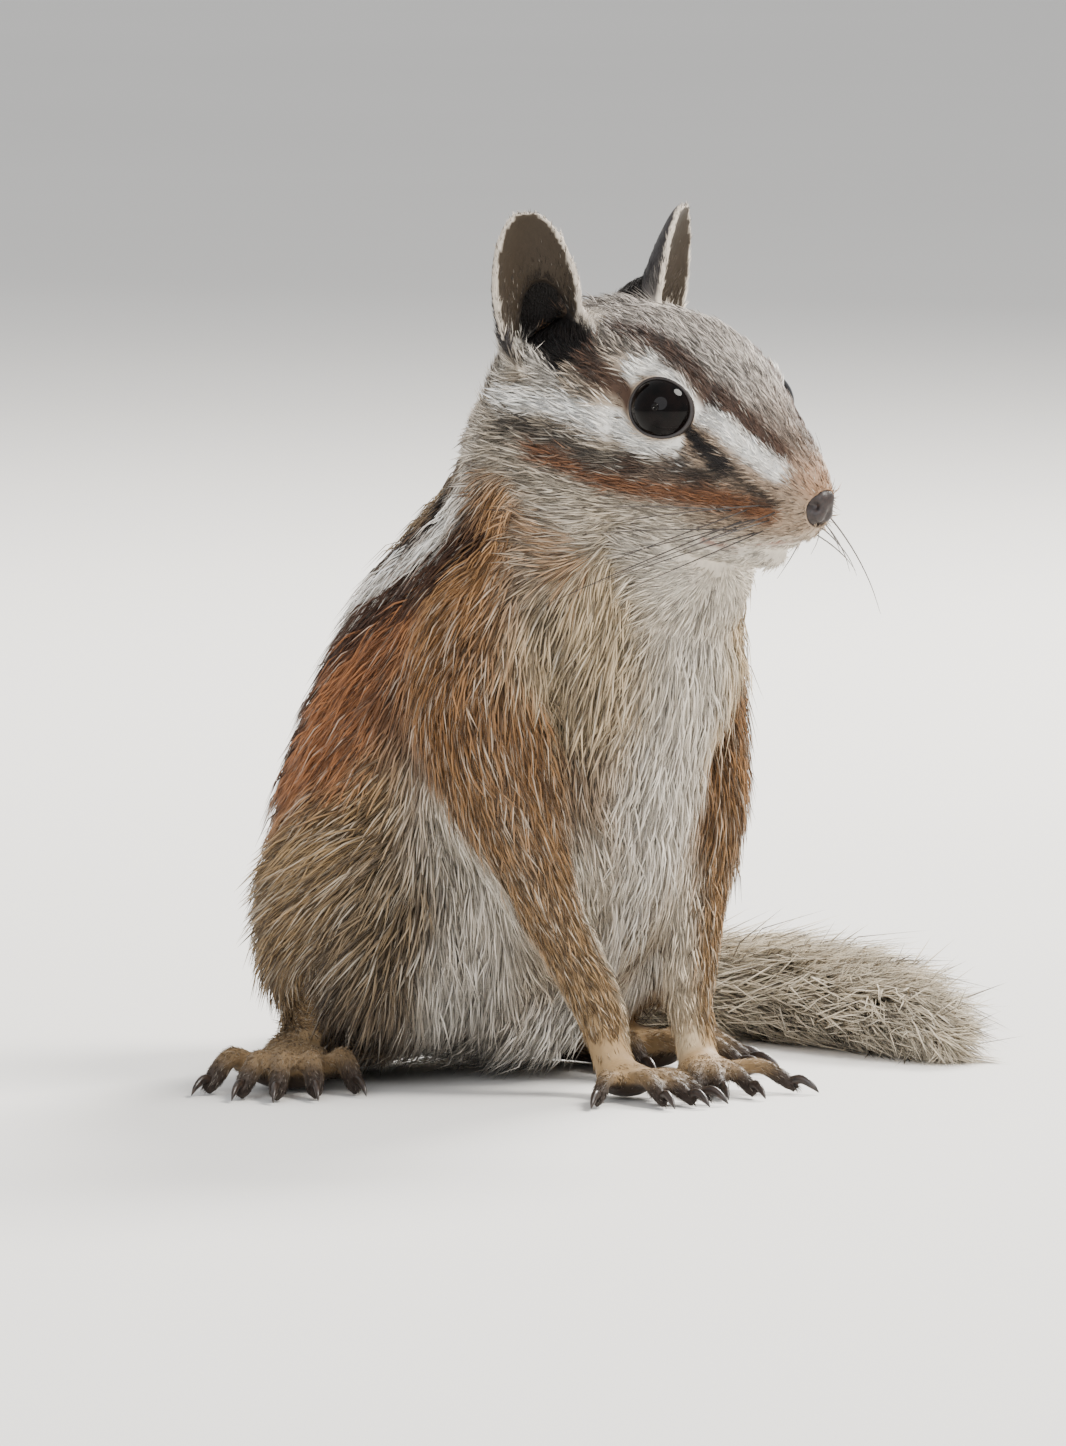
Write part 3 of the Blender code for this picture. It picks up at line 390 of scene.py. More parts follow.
def digit_line(root, ahead, length, radii, arch):
    small = radii[2]
    points = [root]
    for share, rise in (*DIGIT_JOINTS, (1.0, small * DIGIT_TIP_HEIGHT / arch)):
        points.append(root + ahead * (length * share) + Z_AXIS * (arch * rise - root.z))
    return points


def palm(side):
    """A forefoot's way ahead, its way outwards and the middle of its palm."""
    ahead, outwards = heading(FOREFOOT_HEADING[side], SIDES[side])
    wrist = on_side(FORELEG[side][-1], SIDES[side])
    forward, height = PALM[0]
    return ahead, outwards, Vector((wrist.x, wrist.y, 0)) + ahead * forward + Z_AXIS * height


def foot_digits(side, fore):
    """Each digit of a foot: the points along it, the way it points, its radii and its claw."""
    sign = SIDES[side]
    found = []
    if fore:
        ahead, outwards, middle = palm(side)
        long, wide, _ = PALM[1]
        for angle, length in FINGERS:
            turned, _ = heading(FOREFOOT_HEADING[side] + angle, sign)
            away = math.sin(math.radians(angle)) * wide * FINGER_ROOTS[1]
            root = middle + ahead * (long * FINGER_ROOTS[0]) + outwards * away
            line = digit_line(root, turned, length, FINGER_RADII, FINGER_ARCH)
            found.append((line, turned, FINGER_RADII, FORE_CLAW))
        return found
    heel, degrees = HINDFOOT[side]
    ahead, outwards = heading(degrees, sign)
    front = on_side(heel, sign) + ahead * HINDFOOT_SOLE
    onwards, depth, half_width, height = TOE_ROOTS
    for angle, length in TOES:
        turned, _ = heading(degrees + angle * TOE_SPLAY, sign)
        place = angle / TOE_SPREAD
        root = front + ahead * (onwards - depth * abs(place)) + outwards * (place * half_width)
        root.z = height
        line = digit_line(root, turned, length, TOE_RADII, TOE_ARCH)
        found.append((line, turned, TOE_RADII, HIND_CLAW))
    return found


def digits_of(side):
    return foot_digits(side, True) + foot_digits(side, False)


def foot_shapes(side):
    sign = SIDES[side]
    ahead, outwards, middle = palm(side)
    long, wide, high = PALM[1]
    axes = Matrix((outwards, ahead, Z_AXIS)).transposed()
    behind, *wrist_end = WRIST_END
    wrist = limb_rows(FORELEG[side][-3:], sign) + [(*(middle - ahead * behind), *wrist_end)]
    shapes = [limb(wrist, steps=16), ellipsoid(middle, (wide, long, high), axes)]
    (away, up), (onwards, outs), radii = THUMB
    thumb = middle + outwards * (wide * away) + Z_AXIS * up
    shapes.append(tube([thumb, thumb + ahead * onwards + outwards * outs], radii))
    heel, degrees = HINDFOOT[side]
    ahead, outwards = heading(degrees, sign)
    heel = on_side(heel, sign)
    rows = []
    for share, height, wide, high in SOLE:
        rows.append((*(Vector((heel.x, heel.y, height)) + ahead * (HINDFOOT_SOLE * share)), wide, high))
    shapes.append(limb(rows, outwards))
    for line, _, (big, middle_radius, small), _ in digits_of(side):
        shapes.append(tube(line, (big, middle_radius, middle_radius, small)))
    return shapes


def ear_axes(sign):
    up = head_way(EAR_LEAN[0], sign * EAR_LEAN[1], EAR_LEAN[2]).normalized()
    opens = head_way(EAR_OPENS[0], sign * EAR_OPENS[1], EAR_OPENS[2])
    opens = (opens - opens.project(up)).normalized()
    return head_point(EAR_ROOT[0], sign * EAR_ROOT[1], EAR_ROOT[2]), up, opens, up.cross(opens) * sign


def ear_shape(sign, rows=40, columns=33):
    """A cup that tapers to a round tip, wrapped round an axis behind its opening, with a wall."""
    root, up, opens, across = ear_axes(sign)
    inner, outer = [], []
    for share, half_width, wrap in smooth_row(EAR_SHAPE, rows):
        wrap = math.radians(wrap)
        radius = half_width / math.sin(min(wrap, math.pi / 2))
        for line, more in ((inner, -EAR_WALL / 2), (outer, EAR_WALL / 2)):
            ring = []
            for k in range(columns):
                angle = wrap * (2 * k / (columns - 1) - 1)
                bow = radius * (math.cos(angle) - math.cos(wrap)) + more * math.cos(angle)
                aside = (radius + more) * math.sin(angle)
                ring.append(root + up * (EAR_LENGTH * share) + across * aside - opens * bow)
            line.append(ring)
    return loft([one + two[::-1] for one, two in zip(inner, outer)])


def thigh_shapes(side):
    sign = SIDES[side]
    heel = HINDFOOT[side][0]
    before, height, wide, deep = SHANK_END
    rows = limb_rows([*SHANK, (heel[0], heel[1] - before, height, wide, deep)], sign)
    return [ellipsoid(on_side(THIGH[0], sign), THIGH[1]), limb(rows)]


def body_shapes():
    """Every form that the skin melts together."""
    rows = [(*head_point(s, 0, h), wide, deep) for s, h, wide, deep in JAW]
    spine = limb([(0, *row) for row in SPINE], steps=80, around=72)
    shapes = [spine, skull(), limb(rows, head_way(0, 1, 0))]
    shapes += [ellipsoid(*form, around=72) for form in (BELLY, CHEST, THROAT)]
    shapes.append(limb(BREAST))
    for side, sign in SIDES.items():
        (s, x, h), (long, wide, high) = BROW
        shapes.append(ellipsoid(head_point(s, sign * x, h), (wide, long, high), head_turn()))
        shapes.append(limb(limb_rows(FORELEG[side], sign)))
        shapes.append(ear_shape(sign))
        shapes += thigh_shapes(side) + foot_shapes(side)
    flesh = [(*row[:3], row[3] * TAIL_FLESH, row[4] * TAIL_FLESH) for row in TAIL[:-1]]
    shapes.append(limb(flesh, None, steps=120, around=20))
    return shapes


# Colours

def rgb(*values):
    """A colour given as a screen shows it, from 0 to 255, as light."""
    light = []
    for v in (v / 255 for v in values):
        light.append(v / 12.92 if v <= 0.04045 else ((v + 0.055) / 1.055) ** 2.4)
    return tuple(light)


# Each with how grizzled that coat is, from 0 to 1
RUST = (*rgb(160, 106, 68), 0.35)
ORANGE = (*rgb(188, 142, 96), 0.4)
SHOULDER = (*rgb(146, 106, 68), 0.8)
# painted shade: the dark of the crease behind the shoulder
CREASE_SHADE = (*rgb(70, 48, 36), 0.25)
OLIVE = (*rgb(140, 118, 88), 0.95)
OCHRE = (*rgb(174, 144, 104), 0.85)
BUFF = (*rgb(208, 186, 152), 0.3)
CREAM = (*rgb(228, 218, 202), 0.15)
WHITE = (*rgb(250, 246, 238), 0.0)
BELLY_GREY = (*rgb(220, 213, 202), 0.3)
SLATE = (*rgb(88, 80, 71), 0.5)
CROWN = (*rgb(188, 178, 168), 1.0)
MUZZLE = (*rgb(176, 152, 128), 0.5)
BRIDGE = (*rgb(164, 128, 98), 0.6)
CHEEK = (*rgb(196, 182, 162), 0.7)
EAR_BACK = (*rgb(54, 50, 50), 0.2)
# the cup's own fur colour, darkened as painted shade
EAR_CUP_SHADED = (*rgb(62, 52, 40), 0.3)
# pale edge hairs, brightened as painted rim light
PALE_RIM_AND_LIGHT = (*rgb(214, 202, 186), 0.1)
EAR_BASE = (*rgb(150, 112, 76), 0.8)
TOE_END = (*rgb(54, 44, 38), 0.3)
TAIL_FUR = (*rgb(222, 209, 186), 0.55)
DARK = (*rgb(34, 25, 20), 0.05)
BLACK = (*rgb(26, 20, 17), 0.0)
BROWN = (*rgb(64, 40, 26), 0.1)
RUST_STRIPE = (*rgb(124, 78, 46), 0.25)
LIP = (*rgb(150, 112, 98), 0.0)

# Coats: length, lift in degrees, width, tufts per square millimetre
FACE = (0.95, 14, 0.15, 17.0)
BROW_COAT = (1.5, 14, 0.18, 15.0)
NAPE = (3.0, 19, 0.26, 9.5)
CHEEK_COAT = (3.0, 16, 0.25, 9.5)
NECK = (3.8, 17, 0.29, 8.0)
BACK = (4.6, 19, 0.33, 6.8)
RUMP = (5.0, 19, 0.35, 6.2)
CHEST_COAT = (5.2, 20, 0.33, 6.5)
BELLY_COAT = (5.4, 18, 0.35, 5.5)
HANGING = (5.4, 36, 0.35, 6.0)
ARM = (4.0, 16, 0.29, 7.5)
WRIST = (1.3, 13, 0.19, 12.0)
SOLE_COAT = (3.0, 16, 0.22, 11.0)
DIGIT = (1.0, 17, 0.12, 22.0)
EAR_ROOT_COAT = (1.7, 16, 0.19, 13.0)
EAR_TIP = (0.55, 9, 0.12, 18.0)
TAIL_BASE = (5.0, 24, 0.34, 9.0)
TAIL_COAT = (8.6, 33, 0.37, 9.0)
TAIL_TIP = (6.5, 17, 0.33, 12.0)


# The lie, length, lift and base colour of the coat, along guide lines

def head_rows(rows, sign):
    return [tuple(head_point(s, sign * x, h)) for s, x, h in rows]


class Guides:
    """Lines along which the coat lies. Near each, it takes the line's way, cut and colour."""

    def __init__(self):
        self.points, self.ways, self.values = [], [], []

    def add(self, line, coat, colour, coat_end=None, colour_end=None):
        line = smooth_row(line, 12)
        ways = np.gradient(line, axis=0)
        ways /= np.linalg.norm(ways, axis=1, keepdims=True)
        share = np.linspace(0, 1, len(line))[:, None]
        start = np.array(coat + colour)
        end = np.array((coat_end or coat) + (colour_end or colour))
        self.points.append(line)
        self.ways.append(ways)
        self.values.append(start * (1 - share) + end * share)

    def read(self, points):
        """For each point the blended way and values of the guides near it."""
        rows = (self.points, self.ways, self.values)
        at, ways, values = (np.vstack(lines).astype(np.float32) for lines in rows)
        found = []
        for first in range(0, len(points), 8000):
            some = points[first : first + 8000].astype(np.float32)
            apart = (some**2).sum(axis=1)[:, None] + (at**2).sum(axis=1)[None] - 2 * some @ at.T
            weight = 1 / (np.maximum(apart, 0) + 0.5) ** 2.5
            weight /= weight.sum(axis=1, keepdims=True)
            found.append(weight @ np.hstack([ways, values]))
        found = np.vstack(found).astype(float)
        return found[:, :3], found[:, 3:]


# Guide lines: the points, then coat and colour at the start, and at the end where they change
MIDLINE_GUIDES = (
    (
        ((0, -17.0, 69.0), (0, -8.0, 62.0), (0, 0.0, 54.0), (0, 8.0, 46.5), (0, 15.0, 36.0), (0, 20.0, 25.0)),
        NAPE, CROWN, RUMP, OLIVE,
    ),
    (((0, 20.0, 25.0), (0, 22.0, 16.0), (0.5, 21.0, 9.0)), RUMP, OLIVE),
    (
        ((0.5, -33.5, 47.0), (0.5, -31.0, 40.0), (0.5, -27.5, 31.0), (0, -21.5, 21.0), (0, -12.0, 8.0)),
        NECK, CREAM, CHEST_COAT, BELLY_GREY,
    ),
    (((0, -12.0, 8.0), (0, 0.0, 4.0), (0, 10.0, 4.0)), HANGING, BELLY_GREY),
)
# Bridge, crown, muzzle, cheek, jowl, temple and chin, all backwards from the nose
HEAD_GUIDES = (
    (((0.5, 0.8, 1.0), (5, 1.6, 4.2), (10, 2.2, 8.0)), FACE, BRIDGE, BROW_COAT, CROWN),
    (((10, 2.2, 8.0), (18, 3.4, 11.2), (26, 3.4, 11.0), (34, 3.0, 8.5)), BROW_COAT, CROWN, NAPE, CROWN),
    (((1.8, 2.4, -2.4), (5.5, 4.4, -3.0), (10, 6.0, -3.4)), FACE, MUZZLE, BROW_COAT, MUZZLE),
    (
        ((10, 6.0, -3.4), (17, 8.8, -3.0), (25, 10.4, -3.2), (32, 10.2, -4.0)),
        BROW_COAT, CHEEK, CHEEK_COAT, CHEEK,
    ),
    (((8, 4.4, -7.6), (15, 6.2, -8.8), (23, 8.0, -9.0), (31, 8.6, -8.6)), FACE, CREAM, CHEEK_COAT, CHEEK),
    (((11, 6.8, 2.0), (18, 8.9, 3.0), (25, 9.6, 4.0), (31, 9.0, 3.0)), FACE, MUZZLE, CHEEK_COAT, CHEEK),
    (((3.5, 0.8, -6.6), (9, 1.6, -8.8), (16, 2.0, -10.5)), FACE, CREAM, BROW_COAT, CREAM),
)
# Side of the neck, and throat
NECK_GUIDES = (
    (((10.8, -15.0, 55.0), (12.5, -13.0, 48.0), (14.0, -12.0, 40.0)), NECK, ORANGE, BACK, SHOULDER),
    (((7.5, -24.5, 50.0), (9.0, -24.0, 44.0), (9.5, -22.0, 37.0)), NECK, BUFF, CHEST_COAT, BUFF),
)
# Down a foreleg's outer, front, inner and rear face: the row it starts at, how far out and back it
# is from the leg's middle as shares of its half widths, and how far more in millimetres
FORELEG_GUIDES = (
    (1, (0.9, 0.0), (0.0, 0.0), BACK, SHOULDER, WRIST, OCHRE),
    (1, (0.0, -0.9), (0.2, 0.0), BACK, SHOULDER, WRIST, OCHRE),
    (3, (-0.8, 0.0), (0.0, -1.0), ARM, CREAM, WRIST, BUFF),
    (3, (0.0, 0.9), (0.2, 0.0), ARM, CREAM, WRIST, OCHRE),
)
# Two down the flank, then haunch, knee and side of the belly
FLANK_GUIDES = (
    (((14.5, -3.0, 48.0), (16.0, 2.0, 40.0), (16.0, 7.0, 32.0)), BACK, RUST),
    (((13, 5, 47), (14, 11, 38), (13, 16, 28), (12, 18.5, 18)), BACK, RUST, RUMP, SLATE),
    (((18.5, -3, 27), (20.5, 3, 20), (18.5, 10, 12.5), (14, 15, 7)), RUMP, OCHRE, RUMP, OLIVE),
    (((17.0, -10.0, 20.0), (19.0, -6.5, 12.0), (17.0, -1.0, 6.0)), CHEST_COAT, OLIVE, BELLY_COAT, SLATE),
    (((13, -12.5, 27), (13, -14, 18), (12, -10, 8)), CHEST_COAT, CREAM, BELLY_COAT, BELLY_GREY),
)
HINDFOOT_GUIDE = ((-2, 2.0), (6, 2.4), (13, 2.2), (20, 1.4))  # ahead of the heel, height
DIGIT_GUIDE_RISE = 0.7
EAR_GUIDES = ((-1.6, -2.6), (1.6, -2.6), (0.0, -3.6), (-3.6, 0.0), (3.6, 0.0))  # across, out
EAR_GUIDE_RISES = (4.5, 9, EAR_LENGTH)
EAR_GUIDE_SLOPE = 0.1


def guide_foreleg(guides, side):
    for first, (out, back), (more_out, more_back), *cut in FORELEG_GUIDES:
        line = []
        for x, y, z, wide, deep in FORELEG[side][first:]:
            line.append((x + out * wide + more_out, y + back * deep + more_back, z))
        guides.add(side_rows(line, SIDES[side]), *cut)


def guide_feet(guides, side):
    heel, degrees = HINDFOOT[side]
    ahead, _ = heading(degrees, SIDES[side])
    heel = on_side(heel, SIDES[side])
    top = [tuple(heel + ahead * onwards + Z_AXIS * rise) for onwards, rise in HINDFOOT_GUIDE]
    guides.add(top, SOLE_COAT, OLIVE, DIGIT, OCHRE)
    for line, _, _, _ in digits_of(side):
        guides.add([tuple(p + Z_AXIS * DIGIT_GUIDE_RISE) for p in line], DIGIT, OCHRE, DIGIT, TOE_END)


def guide_ear(guides, sign):
    root, up, opens, across = ear_axes(sign)
    for shift, out in EAR_GUIDES:
        start = root + across * shift + opens * out
        line = [tuple(start + up * rise + opens * EAR_GUIDE_SLOPE * rise) for rise in EAR_GUIDE_RISES]
        guides.add(line, EAR_ROOT_COAT, EAR_BACK, EAR_TIP, EAR_BACK)


def make_guides():
    guides = Guides()
    for row in MIDLINE_GUIDES:
        guides.add(*row)
    for side, sign in SIDES.items():
        for line, *cut in HEAD_GUIDES:
            guides.add(head_rows(line, sign), *cut)
        for line, *cut in NECK_GUIDES:
            guides.add(side_rows(line, sign), *cut)
        guide_foreleg(guides, side)
        for line, *cut in FLANK_GUIDES:
            guides.add(side_rows(line, sign), *cut)
        guide_feet(guides, side)
        guide_ear(guides, sign)
    tail = [row[:3] for row in TAIL]
    guides.add(tail[:4], TAIL_BASE, OLIVE, TAIL_COAT, TAIL_FUR)
    guides.add(tail[3:8], TAIL_COAT, TAIL_FUR)
    guides.add(tail[7:], TAIL_COAT, TAIL_FUR, TAIL_TIP, TAIL_FUR)
    return guides


# Markings, drawn over the base colours, with painted shade in the shoulders' creases and the ears and painted
# rim light on the ears. Those of the head are in its frame, and both sides alike

CROWN_STRIPE = (
    (22.1, 5.8, 9.7), (20.2, 5.6, 9.7), (17.5, 5.2, 9.3), (14.7, 5.1, 8.6), (12.1, 4.6, 7.4),
    (9.6, 3.9, 5.6), (6.9, 3.1, 4.1), (4.2, 2.4, 2.7),
)
OVER_EYE = (
    (19.6, 8.2, 6.9), (17.4, 6.9, 7.9), (13.7, 7.2, 7.6), (11.8, 6.6, 6.2), (10.5, 5.4, 4.7),
    (8.4, 4.6, 3.2), (6.1, 3.9, 2.1), (3.8, 3.0, 1.1),
)
BEHIND_EYE = ((18.9, 9.2, 4.4), (21.2, 9.2, 5.9), (23.9, 8.7, 7.0), (26.6, 7.5, 8.0))
BEFORE_EYE = ((11.9, 6.8, 3.4), (10.0, 5.8, 1.8), (7.4, 4.9, 0.1), (5.4, 4.2, -0.8), (3.6, 3.4, -1.6))
UNDER_EYE = (
    (31.8, 9.9, 0.9), (28.5, 10.3, 1.8), (24.6, 10.4, 2.4), (21.1, 10.0, 1.9), (17.9, 9.2, 1.3),
    (15.0, 8.2, 0.6), (12.4, 7.0, 0.7), (10.4, 6.2, 0.9),
)
CHEEK_TOP = (
    (30.5, 10.2, -1.0), (26.5, 10.6, -0.6), (22.7, 10.5, -0.7), (19.5, 9.8, -1.4), (15.7, 8.4, -1.6),
    (12.2, 7.0, -1.2), (9.5, 5.8, -1.2),
)
CHEEK_LOW = (
    (26.2, 10.5, -2.4), (22.5, 10.3, -2.6), (19.3, 9.6, -3.2), (15.6, 8.1, -3.4), (12.0, 6.8, -2.9),
    (8.8, 5.6, -2.4), (6.1, 4.5, -2.4), (4.0, 3.5, -2.6),
)
NOSE_RIDGE = ((7.5, 1.2, 5.4), (5.0, 1.0, 4.2), (3.4, 0.6, 3.1))
EAR_FRONT = ((25.5, 8.3, 7.6), (28.2, 6.6, 9.0), (29.8, 5.3, 9.4))
EAR_REAR = ((33.2, 9.0, 3.0), (33.6, 8.0, 6.5))
EYE_CORNER = ((13.9, 8.0, 3.6), (12.4, 7.2, 3.4), (10.4, 6.2, 1.9), (8.4, 5.3, 0.5))
MUZZLE_BLOTCH = ((11.2, 6.6, -0.6), (8.6, 5.4, -0.6))
# line, in the head's frame or the model's right side; radius, softness, colour, strength
HEAD_MARKS = (
    (EAR_FRONT, 1.8, 1.2, BROWN, 0.85),
    (EAR_REAR, 1.5, 1.2, CREAM, 0.9),
    (CROWN_STRIPE, 1.1, 0.7, BROWN, 0.95),
    (NOSE_RIDGE, 0.7, 0.5, DARK, 0.65),
    (CHEEK_LOW, 1.15, 0.8, RUST_STRIPE, 0.95),
    (CHEEK_TOP[:5], 0.8, 0.6, DARK, 0.85),
    (CHEEK_TOP[4:], 0.8, 0.6, BROWN, 0.8),
    (UNDER_EYE[:7], 1.25, 0.5, WHITE, 1.0),
    (OVER_EYE, 0.95, 0.45, WHITE, 1.0),
    (BEHIND_EYE, 1.35, 0.7, BROWN, 0.95),
    (BEFORE_EYE, 0.6, 0.5, DARK, 0.9),
    (MUZZLE_BLOTCH, 0.8, 0.7, DARK, 0.85),
    (EYE_CORNER, 0.85, 0.4, BLACK, 1.0),
    (MOUTH, 0.35, 0.25, LIP, 0.9),
)
BODY_MARKS_AND_SHADE = (
    (((-13.3, 5, 43), (-15.4, 4.1, 37), (-16.8, 0.4, 31.4)), 3.6, 3.0, RUST, 0.9),
    # painted shade down the crease behind each shoulder
    (((-15, -3, 43.0), (-15.5, -5, 36.2), (-17.6, -9.6, 31.0)), 1.3, 1.8, CREASE_SHADE, 0.85),
    (((-16.2, -14.5, 43), (-16.8, -17.8, 36.1)), 3.0, 3.0, SHOULDER, 0.7),
    (((-11.7, -12.1, 54.3), (-11.4, -17.2, 52.0), (-9.3, -21.1, 48.7)), 1.6, 1.4, ORANGE, 0.8),
    (
        ((-10.2, -19.2, 45.5), (-10, -20.9, 44), (-9.5, -22.4, 41.3), (-8.7, -23.5, 37.1)),
        0.9, 1.3, SLATE, 0.85,
    ),
    (((-8.2, -21.5, 33.0), (-7.6, -21.0, 27.0)), 0.9, 1.2, SLATE, 0.7),
    (((-11.7, -15.5, 49.3), (-11.6, -16.2, 48.9)), 0.5, 0.4, DARK, 0.7),
    (((-10.5, -10.5, 60.5), (-11.3, -11, 57.9)), 1.4, 1.2, CREAM, 0.8),
)
# Stripes of the back, as degrees round it at some shares of the spine's length
STRIPE_SHARES = (0.05, 0.5, 0.58, 0.70, 0.86)
STRIPE_ANGLES = (
    (0, 11, 19, 28, 37),
    (0, 14, 24, 35, 46),
    (0, 20, 32, 44, 57),
    (0, 36, 50, 64, 80),
    (0, 36, 50, 64, 80),
)
STRIPE_COLOURS = (DARK, OLIVE, DARK, WHITE, BROWN)
STRIPES_FADE = (0.74, 0.86)


def eased(value):
    value = np.clip(value, 0, 1)
    return value * value * (3 - 2 * value)


def distance_to(line, points):
    """From each point to the nearest place on a line of straight pieces."""
    near = np.full(len(points), np.inf)
    for one, two in zip(np.array(line, float), np.array(line, float)[1:]):
        way = two - one
        share = np.clip((points - one) @ way / (way @ way), 0, 1)
        near = np.minimum(near, ((points - one - share[:, None] * way) ** 2).sum(axis=1))
    return np.sqrt(near)


def painted(colours, points, marks):
    for line, radius, soft, colour, strength in marks:
        weight = eased((radius + soft - distance_to(line, points)) / (2 * soft)) * strength
        colours += weight[:, None] * (np.array(colour) - colours)


def back_stripes(colours, points):
    spine = smooth_row(SPINE, 120)
    middle = spine[:, :2]
    flat = points[:, 1:]
    apart = (flat**2).sum(axis=1)[:, None] + (middle**2).sum(axis=1)[None] - 2 * flat @ middle.T
    nearest = np.argmin(apart, axis=1)
    share = nearest / (len(spine) - 1)
    way = np.gradient(middle, axis=0)[nearest]
    way /= np.linalg.norm(way, axis=1, keepdims=True)
    relative = flat - middle[nearest]
    dorsal = relative[:, 0] * way[:, 1] - relative[:, 1] * way[:, 0]
    angle = np.degrees(np.arctan2(np.abs(points[:, 0]), dorsal))
    centres = np.stack([np.interp(share, STRIPE_SHARES, column) for column in zip(*STRIPE_ANGLES)])
    across = np.zeros(len(points))
    for k in range(4):
        across += np.clip((angle - centres[k]) / (centres[k + 1] - centres[k]), 0, 1)
    across += np.clip((angle - centres[4] - 6) / 12, 0, 1)
    fade = 1 - eased((share - STRIPES_FADE[0]) / (STRIPES_FADE[1] - STRIPES_FADE[0]))
    for k, colour in enumerate(STRIPE_COLOURS):
        weight = eased(1.35 - 1.7 * np.abs(across - k)) * fade
        colours += weight[:, None] * (np.array(colour) - colours)


def markings_and_shade(points, colours, part):
    """The base colours with every marking and the painted shade and rim light, as red, green, blue and how
    grizzled they are.
    """
    colours = colours.copy()
    local = in_head(points)
    local[:, 1] = np.abs(local[:, 1])
    mirrored = points.copy()
    mirrored[:, 0] = -np.abs(mirrored[:, 0])
    trunk, head = part == TRUNK, (part == HEAD)
    for chosen, where, marks in ((head, local, HEAD_MARKS), (trunk | (part == LIMB), mirrored, BODY_MARKS_AND_SHADE)):
        some = colours[chosen]
        painted(some, where[chosen], marks)
        colours[chosen] = some
    some = colours[trunk]
    back_stripes(some, points[trunk])
    colours[trunk] = some
    for side, sign in SIDES.items():
        colour_ear(colours, points, part, sign)
        colour_toes(colours, points, part, side)
    bare = eased((1.1 - beside_nose(local)) / 0.2) * head
    colours += bare[:, None] * (np.array(BLACK) - colours)
    return colours


TOES_DARK = 3.8  # how far round a digit's tip the fur is dark
PADS_HEIGHT = 1.5  # the fur under the feet is dark up to here


def colour_toes(colours, points, part, side):
    chosen = part == FOOT
    some, there = colours[chosen], points[chosen]
    weight = eased((PADS_HEIGHT + 0.5 - there[:, 2]) / 0.8) * 0.75
    for line, _, _, _ in digits_of(side):
        near = np.linalg.norm(there - np.array(line[-1]), axis=1)
        weight = np.maximum(weight, eased((TOES_DARK - near) / 2.6) * 0.9)
    some += weight[:, None] * (np.array(TOE_END) - some)
    colours[chosen] = some


# Ears: a hollow low in the cup painted black as its shadow, the olive cup darkened as painted shade, a pale
# rim that is partly painted rim light, rusty at the front of the base
EAR_HOLLOW = (5.4, -0.9, 4.4, 2.2)  # its middle up and across, half height and half width
EAR_HOLLOW_DEPTH = 3.2
RIM_WIDTH = 0.28
EAR_HOLLOW_WAY = (0.72, -0.68, -0.1)


def ear_place(points, sign):
    """Up along the ear, across its cup towards the front, and out of its opening."""
    root, up, opens, across = (np.array(v) for v in ear_axes(sign))
    relative = points - root
    return relative @ up, relative @ across, relative @ opens


def colour_ear(colours, points, part, sign):
    rise, wide, out = ear_place(points, sign)
    share = np.clip(rise / EAR_LENGTH, 0, 1)
    shares, half_widths, degrees = zip(*EAR_SHAPE)
    widths = np.interp(share, shares, half_widths)
    wraps = np.radians(np.interp(share, shares, degrees))
    radii = widths / np.sin(np.minimum(wraps, np.pi / 2))
    from_axis = np.hypot(wide, out - radii * np.cos(wraps))
    near = np.hypot(wide, out) < 8
    ear = (part == EAR) & near
    cup = ear & (from_axis < radii)
    # the cup, coloured darker as painted shade
    colours[cup] = np.array(EAR_CUP_SHADED)
    turned = np.arctan2(np.abs(wide), radii * np.cos(wraps) - out)
    # the ear's edge: pale hairs, with painted rim light
    edge = ear & (((wraps - turned) * radii < RIM_WIDTH) | (rise > EAR_LENGTH - RIM_WIDTH))
    colours[edge] = np.array(PALE_RIM_AND_LIGHT)
    base = eased((8.5 - rise) / 3) * ear * (~cup) * (out < -1.5) * 0.8
    colours += base[:, None] * (np.array(EAR_BASE) - colours)
    middle, aside, high, half = EAR_HOLLOW
    hollow = ((rise - middle) / high) ** 2 + ((wide - aside) / half) ** 2
    here = near & (out > -4.5) & (out < 5) & (rise > -1) & ((part == EAR) | (part == HEAD))
    edge = eased((3.0 - hollow) / 1.2) * here * (part == HEAD) * 0.85
    colours += edge[:, None] * (np.array(BELLY_GREY) - colours)
    # painted shadow: black deep in the hollow low in the cup
    dark = eased((1.35 - hollow) / 0.6) * here
    colours += dark[:, None] * (np.array(BLACK) - colours)


# Skin

def applied(obj):
    """An object's mesh after its modifiers."""
    bpy.context.view_layer.update()
    mesh = bpy.data.meshes.new_from_object(obj.evaluated_get(bpy.context.evaluated_depsgraph_get()))
    obj.modifiers.clear()
    obj.data = mesh
    return obj


def mesh_object(name, points, faces):
    mesh = bpy.data.meshes.new(name)
    mesh.from_pydata([tuple(p) for p in points], [], faces)
    obj = bpy.data.objects.new(name, mesh)
    bpy.context.scene.collection.objects.link(obj)
    return obj


def read_points(mesh, what="co"):
    found = np.empty(3 * len(mesh.vertices))
    mesh.vertices.foreach_get(what, found)
    return found.reshape(-1, 3)


def write_points(mesh, points):
    mesh.vertices.foreach_set("co", points.ravel())
    mesh.update()


def edges_of(mesh):
    found = np.empty(2 * len(mesh.edges), dtype=np.int32)
    mesh.edges.foreach_get("vertices", found)
    return found.reshape(-1, 2)


def neighbours_mean(values, edges):
    one, two = edges.T
    count = len(values)
    total = np.bincount(one, values[two], count) + np.bincount(two, values[one], count)
    return total / np.bincount(edges.ravel(), minlength=count)


def softened(points, edges, share, times):
    """Each point moved that share of the way towards the middle of its neighbours, again and again."""
    share = np.broadcast_to(share, len(points))[:, None]
    for _ in range(times):
        middle = np.stack([neighbours_mean(column, edges) for column in points.T], axis=1)
        points = points + share * (middle - points)
    return points


def melt(obj, voxel):
    """Its forms as one closed surface."""
    remesh = obj.modifiers.new("melt", "REMESH")
    remesh.mode = "VOXEL"
    remesh.voxel_size = voxel
    applied(obj)


